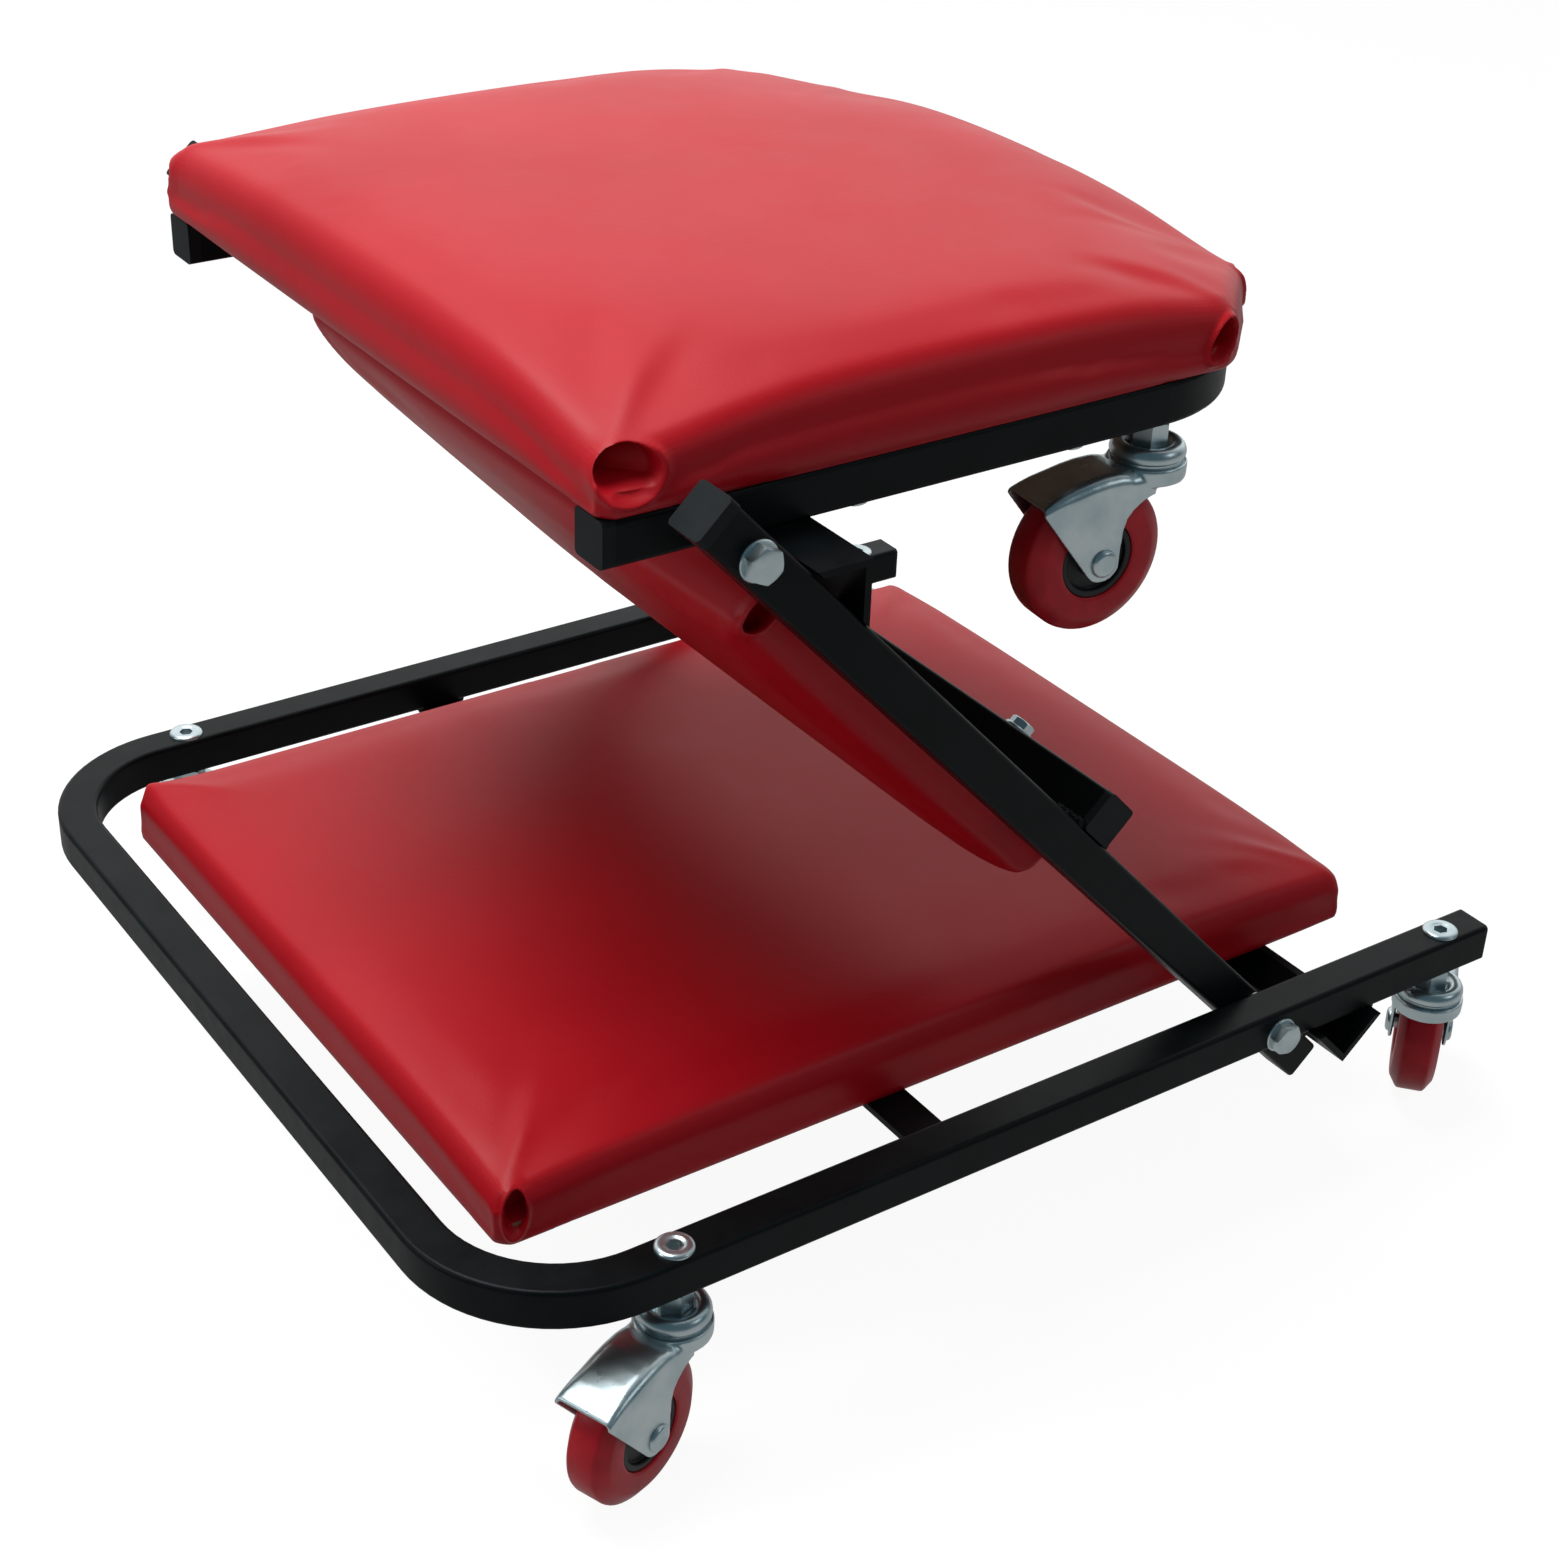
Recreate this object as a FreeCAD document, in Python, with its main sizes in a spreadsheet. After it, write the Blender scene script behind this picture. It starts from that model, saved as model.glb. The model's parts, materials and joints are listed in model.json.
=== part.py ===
import FreeCAD, Part
import math
import os
import types
import Sketcher

V = FreeCAD.Vector

# Driving sizes, in millimetres and degrees.
# +X runs from the closed end of the base to its open end and +Z is up.
# The origin is on the floor, at the middle of the footprint.
SIZES = {
    # square steel tube of every frame member
    "tube": 19.0,
    "tube_wall": 1.5,
    "tube_edge": 2.2,
    "run_fit": 0.06,
    "face_gap": 0.2,
    "overrun": 1.0,
    # base frame, a U laid flat
    "base_width": 490.0,
    "closed_reach": 283.0,
    "open_reach": 251.8,
    "bend_radius": 72.0,
    "caster_height": 86.0,
    "closed_caster_inset": 88.0,
    "open_caster_inset": 20.6,
    "crossbar_x": 51.8,
    "crossbar_width": 20.4,
    "crossbar_thick": 3.0,
    "crossbar_inset": 8.0,
    # middle link: two bars that turn on the base and carry the seat frame
    "lower_pivot_x": 121.5,
    "lower_pivot_drop": 2.7,
    "link_length": 408.4,
    "link_slope": 46.6,
    "link_gap": 1.0,
    "link_tail": 60.5,
    "link_head": 21.4,
    "cross_tube_at": 166.5,
    "cross_tube_lid": 4.0,
    # angle irons of the two stops
    "angle_leg": 28.0,
    "angle_thick": 3.0,
    "lower_stop_depth": 19.6,
    "lower_stop_overhang": 6.0,
    "lower_stop_relief": 3.4,
    # seat frame, a narrower U
    "seat_tail": 34.6,
    "seat_reach": 294.0,
    "seat_pivot_rise": 1.5,
    "seat_caster_inset": 71.4,
    "buffer_radius": 8.0,
    "buffer_height": 12.5,
    "buffer_round": 3.0,
    # end plugs of the tubes
    "plug_lid": 5.5,
    "plug_lip": 0.4,
    "plug_grip": 12.0,
    "base_plug_lid": 2.0,
    # pivot bolts, nuts, washers and spacers
    "bolt_radius": 4.0,
    "bolt_flats": 13.0,
    "bolt_head": 5.3,
    "collar_radius": 8.3,
    "collar_height": 1.2,
    "nut_flats": 13.0,
    "nut_height": 8.0,
    "thread_proud": 2.0,
    "spacer_length": 19.0,
    "spacer_radius": 8.0,
    "washer_radius": 10.5,
    # padded boards
    "board_thick": 9.0,
    "board_inset": 5.0,
    "pad_corner": 12.0,
    "pad_crown": 3.0,
    "pad_edge": 8.0,
    "pad_draw": 2.0,
    "lower_pad_clear": 21.0,
    "lower_pad_gap": 18.0,
    "lower_pad_set_back": 29.3,
    "lower_pad_height": 32.0,
    "lower_pad_edge": 10.0,
    "middle_pad_clear": 20.0,
    "middle_pad_height": 33.0,
    "middle_pad_start": 129.0,
    "middle_pad_end_gap": 46.4,
    "seat_pad_overhang": 3.0,
    "seat_pad_tail": 43.0,
    "seat_pad_height": 38.0,
    "seat_pad_crown": 7.0,
    "seat_pad_edge": 14.0,
    "seat_pad_cut": 40.0,
    # screws that hold the boards
    "screw_radius": 3.0,
    "screw_flats": 10.0,
    "screw_head": 3.6,
    "screw_collar": 6.8,
    "screw_bite": 6.0,
    "lower_screw_inset": 55.0,
    "middle_screw_inset": 31.0,
    "seat_screw_offset": 75.0,
    "seat_screw_inset": 114.0,
    # swivel casters
    "wheel_radius": 32.8,
    "wheel_width": 21.0,
    "wheel_land": 13.0,
    "wheel_bevel": 6.0,
    "hub_radius": 17.0,
    "hub_width": 19.0,
    "hub_dish": 2.5,
    "hub_rim": 3.0,
    "hub_boss": 8.0,
    "trail": 27.0,
    "axle_radius": 4.0,
    "rivet_radius": 6.0,
    "rivet_height": 2.0,
    "fork_width": 28.0,
    "fork_wall": 1.8,
    "fork_boss": 8.2,
    "fork_round": 3.0,
    "leg_rear_turn": 323.0,
    "leg_front_turn": 180.0,
    "hood_radius": 74.0,
    "hood_crest": 69.3,
    "hood_crest_out": 24.0,
    "lip_turn": 62.0,
    "hollow_turn": 56.0,
    "neck_radius": 16.5,
    "neck_height": 69.0,
    "neck_thick": 2.4,
    "neck_skirt": 6.5,
    "throat_back": 12.5,
    "throat_rise": 20.7,
    "race_radius": 15.8,
    "race_height": 8.6,
    "race_wall": 1.6,
    "race_shoulder": 4.0,
    "race_round": 4.0,
    "race_dish": 3.0,
    "ball_radius": 2.0,
    "ball_ring": 11.0,
    "kingpin_radius": 5.0,
    "kingpin_head": 8.0,
    "kingpin_head_thick": 1.6,
    "stem_flats": 14.0,
    "stem_radius": 4.0,
    "sleeve_radius": 5.4,
    "sleeve_flange": 8.4,
    "sleeve_dome": 1.8,
    "sleeve_bevel": 1.2,
    "sleeve_floor": 1.5,
    "socket_flats": 6.0,
    "socket_depth": 5.0,
    # the way each wheel trails, turned from +X towards +Y
    "closed_right_swivel": -159.5,
    "closed_left_swivel": -20.0,
    "open_right_swivel": 41.4,
    "open_left_swivel": 160.0,
    "seat_right_swivel": 175.0,
    "seat_left_swivel": -175.0,
}
BALL_COUNT = 10
# corner radius of a hexagon for each unit between its flats
CORNER_SHARE = 1 / math.sqrt(3)
# inner corner radius of the tube for each unit of its outer one
BORE_EDGE_SHARE = 0.35
# cushion profile: heights of the side as shares, then the way in over the crown
SIDE_SHARES = (0.0, 0.45, 1.0)
SIDE_DRAW_SHARES = (1.0, 0.0, 0.3)
EDGE_TURNS = (30.0, 60.0, 85.0)
CROWN_SHARES = (0.25, 0.5, 0.8)

doc = FreeCAD.newDocument("creeper_seat")
sheet = doc.addObject("Spreadsheet::Sheet", "Sizes")
for row, (alias, number) in enumerate(SIZES.items(), 1):
    sheet.set(f"A{row}", alias.replace("_", " "))
    sheet.set(f"B{row}", str(number))
    sheet.setAlias(f"B{row}", alias)
doc.recompute()


class Size(float):
    """A number that remembers the sum of spreadsheet cells it stands for."""

    def __new__(cls, number, formula):
        size = super().__new__(cls, number)
        size.formula = formula
        return size

    def __add__(self, other):
        return Size(float(self) + float(other), f"({formula(self)} + {formula(other)})")

    def __radd__(self, other):
        return self + other

    def __sub__(self, other):
        return Size(float(self) - float(other), f"({formula(self)} - {formula(other)})")

    def __rsub__(self, other):
        return -self + other

    def __mul__(self, other):
        return Size(float(self) * float(other), f"({formula(self)} * {formula(other)})")

    def __rmul__(self, other):
        return self * other

    def __truediv__(self, other):
        return Size(float(self) / float(other), f"({formula(self)} / {formula(other)})")

    def __neg__(self):
        return Size(-float(self), f"(0 - {formula(self)})")


def formula(number):
    """The text of a size, or of a plain number, for the expression engine."""
    return number.formula if isinstance(number, Size) else repr(float(number))


def cos(angle):
    return Size(math.cos(math.radians(angle)), f"cos({formula(angle)})")


def sin(angle):
    return Size(math.sin(math.radians(angle)), f"sin({formula(angle)})")


s = types.SimpleNamespace(**{name: Size(size, f"Sizes.{name}") for name, size in SIZES.items()})


def bind(item, path, size):
    """Ties one property of an object to the sheet."""
    item.setExpression(path, formula(size))


def place(item, x=0, y=0, z=0, turns=()):
    """Places an object; turns are (axis letter, angle), the outermost first."""
    turning = " * ".join(f"rotation{axis}({formula(angle)})" for axis, angle in turns)
    spot = f"vector({formula(x)}; {formula(y)}; {formula(z)})"
    item.setExpression("Placement", f"placement({spot}; {turning or 'rotationz(0)'})")
    return item


def copy(label, master, x=0, y=0, z=0, turns=()):
    """Puts a copy of a finished piece in its place."""
    item = doc.addObject("Part::Compound", label)
    item.Links = [master]
    return place(item, x, y, z, turns)


def together(label, items):
    """Joins alike pieces into one sub-part, each still a solid of its own."""
    item = doc.addObject("Part::Compound", label)
    item.Links = items
    return item


def body(label):
    return doc.addObject("PartDesign::Body", label)


def sketch(owner, role, lift=0):
    """Starts a sketch on one of a body's own origin planes, lifted along its normal."""
    plane = next(p for p in owner.Origin.OriginFeatures if p.Role == role)
    drawing = owner.newObject("Sketcher::SketchObject", "outline")
    drawing.AttachmentSupport = [(plane, "")]
    drawing.MapMode = "FlatFace"
    bind(drawing, "AttachmentOffset.Base.z", lift)
    return drawing


def pin(drawing, edge, end, spot):
    """Fixes the end of an edge at a spot measured from the sketch's origin."""
    for kind, distance in zip(("DistanceX", "DistanceY"), spot):
        number = drawing.addConstraint(Sketcher.Constraint(kind, -1, 1, edge, end, float(distance)))
        bind(drawing, f"Constraints[{number}]", distance)


def toward(corner, other, distance):
    """The spot at a distance from a corner, on its straight edge to another one."""
    steps = [float(b) - float(a) for a, b in zip(corner, other)]
    along = 0 if abs(steps[0]) > abs(steps[1]) else 1
    spot = list(corner[:2])
    spot[along] = spot[along] + distance if steps[along] > 0 else spot[along] - distance
    return tuple(spot)


def draw(drawing, corners, closed=True):
    """Draws straight edges, with an arc at every square corner that has a radius."""
    arrive = []
    leave = []
    for place_in_row, corner in enumerate(corners):
        spot = corner[:2]
        after = corners[(place_in_row + 1) % len(corners)]
        rounded = len(corner) > 2
        arrive.append(toward(spot, corners[place_in_row - 1], corner[2]) if rounded else spot)
        leave.append(toward(spot, after, corner[2]) if rounded else spot)
    edges = len(corners) if closed else len(corners) - 1
    lines = []
    for start in range(edges):
        end = (start + 1) % len(corners)
        lines.append(drawing.addGeometry(Part.LineSegment(V(*leave[start], 0), V(*arrive[end], 0))))
        pin(drawing, lines[-1], 1, leave[start])
    if not closed:
        pin(drawing, lines[-1], 2, arrive[-1])
    for start in range(edges):
        end = (start + 1) % len(corners)
        if len(corners[end]) > 2:
            pin(drawing, lines[start], 2, arrive[end])
            bend(drawing, lines[start], lines[end], corners[end], arrive[end], leave[end])
        elif end < len(lines):
            drawing.addConstraint(Sketcher.Constraint("Coincident", lines[start], 2, lines[end], 1))


def bend(drawing, before, after, corner, arrive, leave):
    """Joins two lines with an arc whose ends are already fixed."""
    centre = V(arrive[0] + leave[0] - corner[0], arrive[1] + leave[1] - corner[1], 0)
    first = V(*arrive, 0) - centre
    last = V(*leave, 0) - centre
    ends = ((before, 2), (after, 1))
    if first.cross(last).z < 0:
        first, last = last, first
        ends = ends[::-1]
    start = math.atan2(first.y, first.x)
    circle = Part.Circle(centre, V(0, 0, 1), float(corner[2]))
    arc = drawing.addGeometry(Part.ArcOfCircle(circle, start, start + math.pi / 2))
    for end, (line, line_end) in enumerate(ends, 1):
        drawing.addConstraint(Sketcher.Constraint("Coincident", arc, end, line, line_end))
    number = drawing.addConstraint(Sketcher.Constraint("Radius", arc, float(corner[2])))
    bind(drawing, f"Constraints[{number}]", corner[2])


def draw_circle(drawing, x, y, radius):
    circle = drawing.addGeometry(Part.Circle(V(x, y, 0), V(0, 0, 1), float(radius)))
    pin(drawing, circle, 3, (x, y))
    number = drawing.addConstraint(Sketcher.Constraint("Radius", circle, float(radius)))
    bind(drawing, f"Constraints[{number}]", radius)


def draw_square(drawing, x, y, side, edge):
    half = side / 2
    left, right, low, high = x - half, x + half, y - half, y + half
    draw(drawing, [(left, low, edge), (right, low, edge), (right, high, edge), (left, high, edge)])


def draw_hexagon(drawing, flats):
    corner = flats * CORNER_SHARE
    turns = [60 * number for number in range(6)]
    draw(drawing, [(corner * cos(turn), corner * sin(turn)) for turn in turns])


def feature(owner, kind, drawing, length=None, both_ways=False):
    """Adds a pad, pocket, revolution or groove made from a sketch."""
    item = owner.newObject(f"PartDesign::{kind}", kind.lower())
    item.Profile = drawing
    if kind in ("Revolution", "Groove"):
        item.ReferenceAxis = (drawing, ["V_Axis"])
    else:
        item.Midplane = both_ways
        bind(item, "Length", length)
    return item


def turned(label, corners):
    """A body turned about its own Z axis; corners are (radius, height)."""
    item = body(label)
    drawing = sketch(item, "XZ_Plane")
    draw(drawing, corners)
    feature(item, "Revolution", drawing)
    return item


def drill(owner, role, spots, radius, length):
    """Drills alike holes, half of the length each way from an origin plane."""
    drawing = sketch(owner, role)
    for x, y in spots:
        draw_circle(drawing, x, y, radius)
    return feature(owner, "Pocket", drawing, length, both_ways=True)


def soften(owner, base, chosen, radius):
    """Rounds the edges of the last feature that the test picks."""
    doc.recompute()
    names = [f"Edge{n}" for n, edge in enumerate(base.Shape.Edges, 1) if chosen(edge)]
    item = owner.newObject("PartDesign::Fillet", "fillet")
    item.Base = (base, names)
    bind(item, "Radius", radius)
    return item


def upright(edge):
    ends = [vertex.Point for vertex in edge.Vertexes]
    return len(ends) == 2 and (ends[0] - ends[1]).cross(V(0, 0, 1)).Length < edge.Length / 1000


# Heights, reaches and directions that the pieces share.
deck = s.caster_height
base_mid = deck + s.tube / 2
base_top = deck + s.tube
arm_y = s.base_width / 2 - s.tube / 2
link_half = s.base_width / 2 - s.tube - s.link_gap
bar_y = link_half - s.tube / 2
seat_half = link_half - s.tube - s.spacer_length
seat_y = seat_half - s.tube / 2
run, rise = cos(s.link_slope), sin(s.link_slope)
lower_x, lower_z = s.lower_pivot_x, base_mid - s.lower_pivot_drop
upper_x = lower_x - s.link_length * run
upper_z = lower_z + s.link_length * rise
seat_mid = upper_z - s.seat_pivot_rise
seat_deck = seat_mid - s.tube / 2
seat_top = seat_mid + s.tube / 2
on_link = ("y", s.link_slope - 180)


def link_spot(along, behind, y=0):
    """The place at a distance up the bars from the lower pivot, and behind them."""
    return lower_x - along * run + behind * rise, y, lower_z + along * rise + behind * run


def behind_at(behind, z):
    """Where the plane that lies behind the bars' middle by a distance is at a height."""
    return lower_x + (behind - (z - lower_z) * run) / rise


# Bent and straight tubes, and the plugs in their ends.
def u_frame(label, width, length, caster_spots, pivot_spot, screw_spots=()):
    """A bent tube: closed end at x = 0, arms towards +X, middle of the tube at z = 0."""
    item = body(label)
    side = (width - s.tube) / 2
    radius = s.bend_radius - s.tube / 2
    path = sketch(item, "XY_Plane")
    back = s.tube / 2
    draw(path, [(length, -side), (back, -side, radius), (back, side, radius), (length, side)], False)
    section = sketch(item, "YZ_Plane", length)
    draw_square(section, -side, 0, s.tube, s.tube_edge)
    draw_square(section, -side, 0, s.tube - s.tube_wall * 2, s.tube_edge * BORE_EDGE_SHARE)
    pipe = item.newObject("PartDesign::AdditivePipe", "bent_tube")
    pipe.Profile = section
    pipe.Spine = (path, [])
    through = s.tube + s.overrun * 2
    spots = [(x, y) for x in caster_spots for y in (-side, side)]
    drill(item, "XY_Plane", spots, s.sleeve_radius + s.run_fit, through)
    drill(item, "XZ_Plane", [pivot_spot], s.bolt_radius + s.run_fit, width + s.overrun * 2)
    if screw_spots:
        spots = [(x, y) for x in screw_spots for y in (-side, side)]
        drill(item, "XY_Plane", spots, s.screw_radius + s.run_fit, through)
    return item


def straight_tube(label, length, pivot_spots=(), screw_spots=()):
    """A tube along +X from x = 0."""
    item = body(label)
    section = sketch(item, "YZ_Plane")
    draw_square(section, 0, 0, s.tube, s.tube_edge)
    draw_square(section, 0, 0, s.tube - s.tube_wall * 2, s.tube_edge * BORE_EDGE_SHARE)
    feature(item, "Pad", section, length)
    through = s.tube + s.overrun * 2
    if pivot_spots:
        drill(item, "XZ_Plane", [(x, 0) for x in pivot_spots], s.bolt_radius + s.run_fit, through)
    if screw_spots:
        drill(item, "XY_Plane", [(x, 0) for x in screw_spots], s.screw_radius + s.run_fit, through)
    return item


def plug(label, lid, lip):
    """An end plug: lid from x = 0 outwards along +X, grip inside the tube."""
    item = body(label)
    cover = sketch(item, "YZ_Plane")
    draw_square(cover, 0, 0, s.tube + lip * 2, s.tube_edge)
    feature(item, "Pad", cover, lid)
    grip = sketch(item, "YZ_Plane", -s.plug_grip)
    bore = s.tube - (s.tube_wall + s.run_fit) * 2
    draw_square(grip, 0, 0, bore, s.tube_edge * BORE_EDGE_SHARE)
    feature(item, "Pad", grip, s.plug_grip)
    return item


# Fasteners, each along its own Z axis.
def hex_bolt(label, radius, length, flats, head, collar_radius):
    """A bolt: shank below z = 0, then a round collar and a hexagon head above."""
    collar = s.collar_height
    corners = [(0, -length), (radius, -length), (radius, 0), (collar_radius, 0), (collar_radius, collar)]
    item = turned(label, corners + [(0, collar)])
    outline = sketch(item, "XY_Plane", collar)
    draw_hexagon(outline, flats)
    feature(item, "Pad", outline, head)
    return item


def hex_nut(label, radius, flats, height):
    item = body(label)
    outline = sketch(item, "XY_Plane")
    draw_hexagon(outline, flats)
    draw_circle(outline, 0, 0, radius + s.run_fit)
    feature(item, "Pad", outline, height)
    return item


def ring(label, inner, outer, height):
    return turned(label, [(inner, 0), (outer, 0), (outer, height), (inner, height)])


# Padded boards: a plywood board in the hollow underside of a stuffed cover.
def pad_corners(length, width, cut, inset):
    """Corners of a pad's outline from x = 0, moved inwards, the far two cut at 45 degrees."""
    near, far, half = inset, length - inset, width / 2 - inset
    if not cut:
        return [(near, -half), (far, -half), (far, half), (near, half)]
    lost = cut * (1 - inset / (width / 2))
    right = [(near, -half), (far - lost, -half), (far, lost - half)]
    return right + [(x, -y) for x, y in reversed(right)]


def board(label, length, width, cut, screw_spots):
    item = body(label)
    outline = sketch(item, "XY_Plane")
    draw(outline, pad_corners(length, width, cut, s.board_inset))
    slab = feature(item, "Pad", outline, s.board_thick)
    soften(item, slab, upright, s.pad_corner - s.board_inset)
    if screw_spots:
        drill(item, "XY_Plane", screw_spots, s.screw_radius + s.run_fit, (s.screw_bite + s.face_gap) * 2)
    return item


def rounded_wire(corners, radius, height):
    """A closed wire with lines and tangent arcs at one height."""
    spots = [V(x, y, height) for x, y in corners]
    legs = []
    arcs = []
    for here, before, after in zip(spots, spots[-1:] + spots[:-1], spots[1:] + spots[:1]):
        back = (before - here).normalize()
        onward = (after - here).normalize()
        half_turn = back.getAngle(onward) / 2
        reach = radius / math.tan(half_turn)
        inward = (back + onward).normalize()
        middle = here + inward * (radius / math.sin(half_turn) - radius)
        legs.append((here + back * reach, here + onward * reach))
        arcs.append(Part.Arc(legs[-1][0], middle, legs[-1][1]).toShape())
    edges = []
    for number, arc in enumerate(arcs):
        start = legs[number][1]
        end = legs[(number + 1) % len(legs)][0]
        edges += [arc, Part.LineSegment(start, end).toShape()]
    return Part.Wire(edges)


def cushion(label, length, width, cut, height, edge, crown):
    """Stuffed cover with drawn-in sides, a rolled edge and a crown, hollow for its board."""
    levels = []
    for share, draw_share in zip(SIDE_SHARES, SIDE_DRAW_SHARES):
        levels.append(((height - edge) * share, s.pad_draw * draw_share))
    for turn in EDGE_TURNS:
        levels.append((height - edge + edge * sin(turn), edge * (1 - cos(turn))))
    half = min(width, length) / 2
    for share in CROWN_SHARES:
        levels.append((height + crown * (1 - (1 - share) * (1 - share)), edge + (half - edge) * share))
    wires = []
    for level, inset in levels:
        shrink = 1 - inset / half
        wires.append(rounded_wire(pad_corners(length, width, cut, inset), s.pad_corner * shrink, level))
    cover = Part.makeLoft(wires, True, True)
    inset = s.board_inset - s.face_gap
    sole = rounded_wire(pad_corners(length, width, cut, inset), s.pad_corner - inset, -s.overrun)
    room = Part.Face(sole).extrude(V(0, 0, s.board_thick + s.face_gap + s.overrun))
    item = doc.addObject("Part::Feature", label)
    item.Shape = cover.cut(room)
    return item


# Caster pieces, with the swivel axis on Z and the wheel's lowest point at z = 0.
neck_under = s.neck_height - s.neck_thick
race_top = s.neck_height + s.race_height
dish_floor = race_top - s.race_dish
ball_top = s.neck_height + (s.ball_radius + s.run_fit) * 2
pin_bore = s.kingpin_radius + s.run_fit
socket_floor = deck + s.tube - s.socket_depth


def stem():
    """Swivel pin with its head under the fork, hexagon shoulder and threaded stud."""
    head_low = neck_under - s.face_gap - s.kingpin_head_thick
    head_high = neck_under - s.face_gap
    stud_top = socket_floor - s.sleeve_floor
    corners = [(0, head_low), (s.kingpin_head, head_low), (s.kingpin_head, head_high)]
    corners += [(s.kingpin_radius, head_high), (s.kingpin_radius, dish_floor)]
    corners += [(s.stem_radius, dish_floor), (s.stem_radius, stud_top), (0, stud_top)]
    item = turned("caster_stem", corners)
    shoulder = sketch(item, "XY_Plane", dish_floor)
    draw_hexagon(shoulder, s.stem_flats)
    feature(item, "Pad", shoulder, deck - dish_floor)
    return item


def race():
    """Domed cap over the ball ring, dished where the hexagon shoulder sits."""
    rim = s.neck_height + s.face_gap
    shoulder = s.neck_height + s.race_shoulder
    crest = s.race_radius - s.race_round
    dish = s.stem_flats * CORNER_SHARE + s.face_gap
    inner = s.race_radius - s.race_wall
    corners = [(pin_bore, ball_top), (inner, ball_top), (inner, rim), (s.race_radius, rim)]
    corners += [(s.race_radius, shoulder), (crest, race_top), (dish + s.race_wall, race_top)]
    corners += [(dish, dish_floor), (pin_bore, dish_floor)]
    return turned("caster_race", corners)


def ball_ring():
    ball = doc.addObject("Part::Sphere", "caster_ball")
    bind(ball, "Radius", s.ball_radius)
    balls = []
    for number in range(BALL_COUNT):
        turn = 360 * number / BALL_COUNT
        x, y = s.ball_ring * cos(turn), s.ball_ring * sin(turn)
        balls.append(copy("ball", ball, x, y, s.neck_height + s.run_fit + s.ball_radius))
    return together("caster_balls", balls)


def sleeve():
    """Sleeve nut from above: round flange on the tube, barrel inside, hexagon socket."""
    flange_top = base_top + s.sleeve_dome
    rim = flange_top - s.sleeve_bevel
    low = deck + s.face_gap
    bore = s.stem_radius + s.run_fit
    roof = socket_floor - s.sleeve_floor + s.face_gap
    corners = [(bore, low), (s.sleeve_radius, low), (s.sleeve_radius, base_top)]
    corners += [(s.sleeve_flange, base_top), (s.sleeve_flange, rim)]
    corners += [(s.sleeve_flange - s.sleeve_bevel, flange_top), (0, flange_top), (0, roof), (bore, roof)]
    item = turned("caster_sleeve", corners)
    socket = sketch(item, "XY_Plane", flange_top)
    draw_hexagon(socket, s.socket_flats)
    feature(item, "Pocket", socket, s.socket_depth)
    return item


def flush_sleeve():
    """Threaded sleeve that ends level with the tube, where a board lies over it."""
    low = deck + s.face_gap
    bore = s.stem_radius + s.run_fit
    return turned("flush_sleeve", [(bore, low), (s.sleeve_radius, low), (s.sleeve_radius, base_top),
                                   (bore, base_top)])


def fork_side(owner, kind, reach, roof, last_turn, rest, width):
    """Side outline of the fork or of the hollow in it: flat neck, hood arc, then the rest."""
    drawing = sketch(owner, "XZ_Plane")
    front = -s.neck_radius / 2
    arc_level = s.hood_crest - s.hood_radius
    crest = math.asin((roof - arc_level) / reach)
    centre = V(s.hood_crest_out, arc_level, 0)
    low, high = math.radians(last_turn), math.pi - crest
    circle = Part.Circle(centre, V(0, 0, 1), float(reach))
    hood = drawing.addGeometry(Part.ArcOfCircle(circle, low, high))
    pin(drawing, hood, 3, (s.hood_crest_out, arc_level))
    number = drawing.addConstraint(Sketcher.Constraint("Radius", hood, float(reach)))
    bind(drawing, f"Constraints[{number}]", reach)
    hood_end = arc_level + reach * sin(last_turn)
    for end, level in ((1, hood_end), (2, roof)):
        level_at = Sketcher.Constraint("DistanceY", -1, 1, hood, end, float(level))
        bind(drawing, f"Constraints[{drawing.addConstraint(level_at)}]", level)
    last = centre + V(math.cos(low), math.sin(low), 0) * reach
    meet = centre + V(math.cos(high), math.sin(high), 0) * reach
    spots = rest + [(front, roof)]
    lines = [drawing.addGeometry(Part.LineSegment(last, V(*spots[0], 0)))]
    for start, end in zip(spots, spots[1:]):
        lines.append(drawing.addGeometry(Part.LineSegment(V(*start, 0), V(*end, 0))))
    lines.append(drawing.addGeometry(Part.LineSegment(V(*spots[-1], 0), meet)))
    drawing.addConstraint(Sketcher.Constraint("Coincident", lines[0], 1, hood, 1))
    drawing.addConstraint(Sketcher.Constraint("Coincident", lines[-1], 2, hood, 2))
    for number, spot in enumerate(spots):
        pin(drawing, lines[number], 2, spot)
        drawing.addConstraint(Sketcher.Constraint("Coincident", lines[number], 2, lines[number + 1], 1))
    return feature(owner, kind, drawing, width, both_ways=True)


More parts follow.
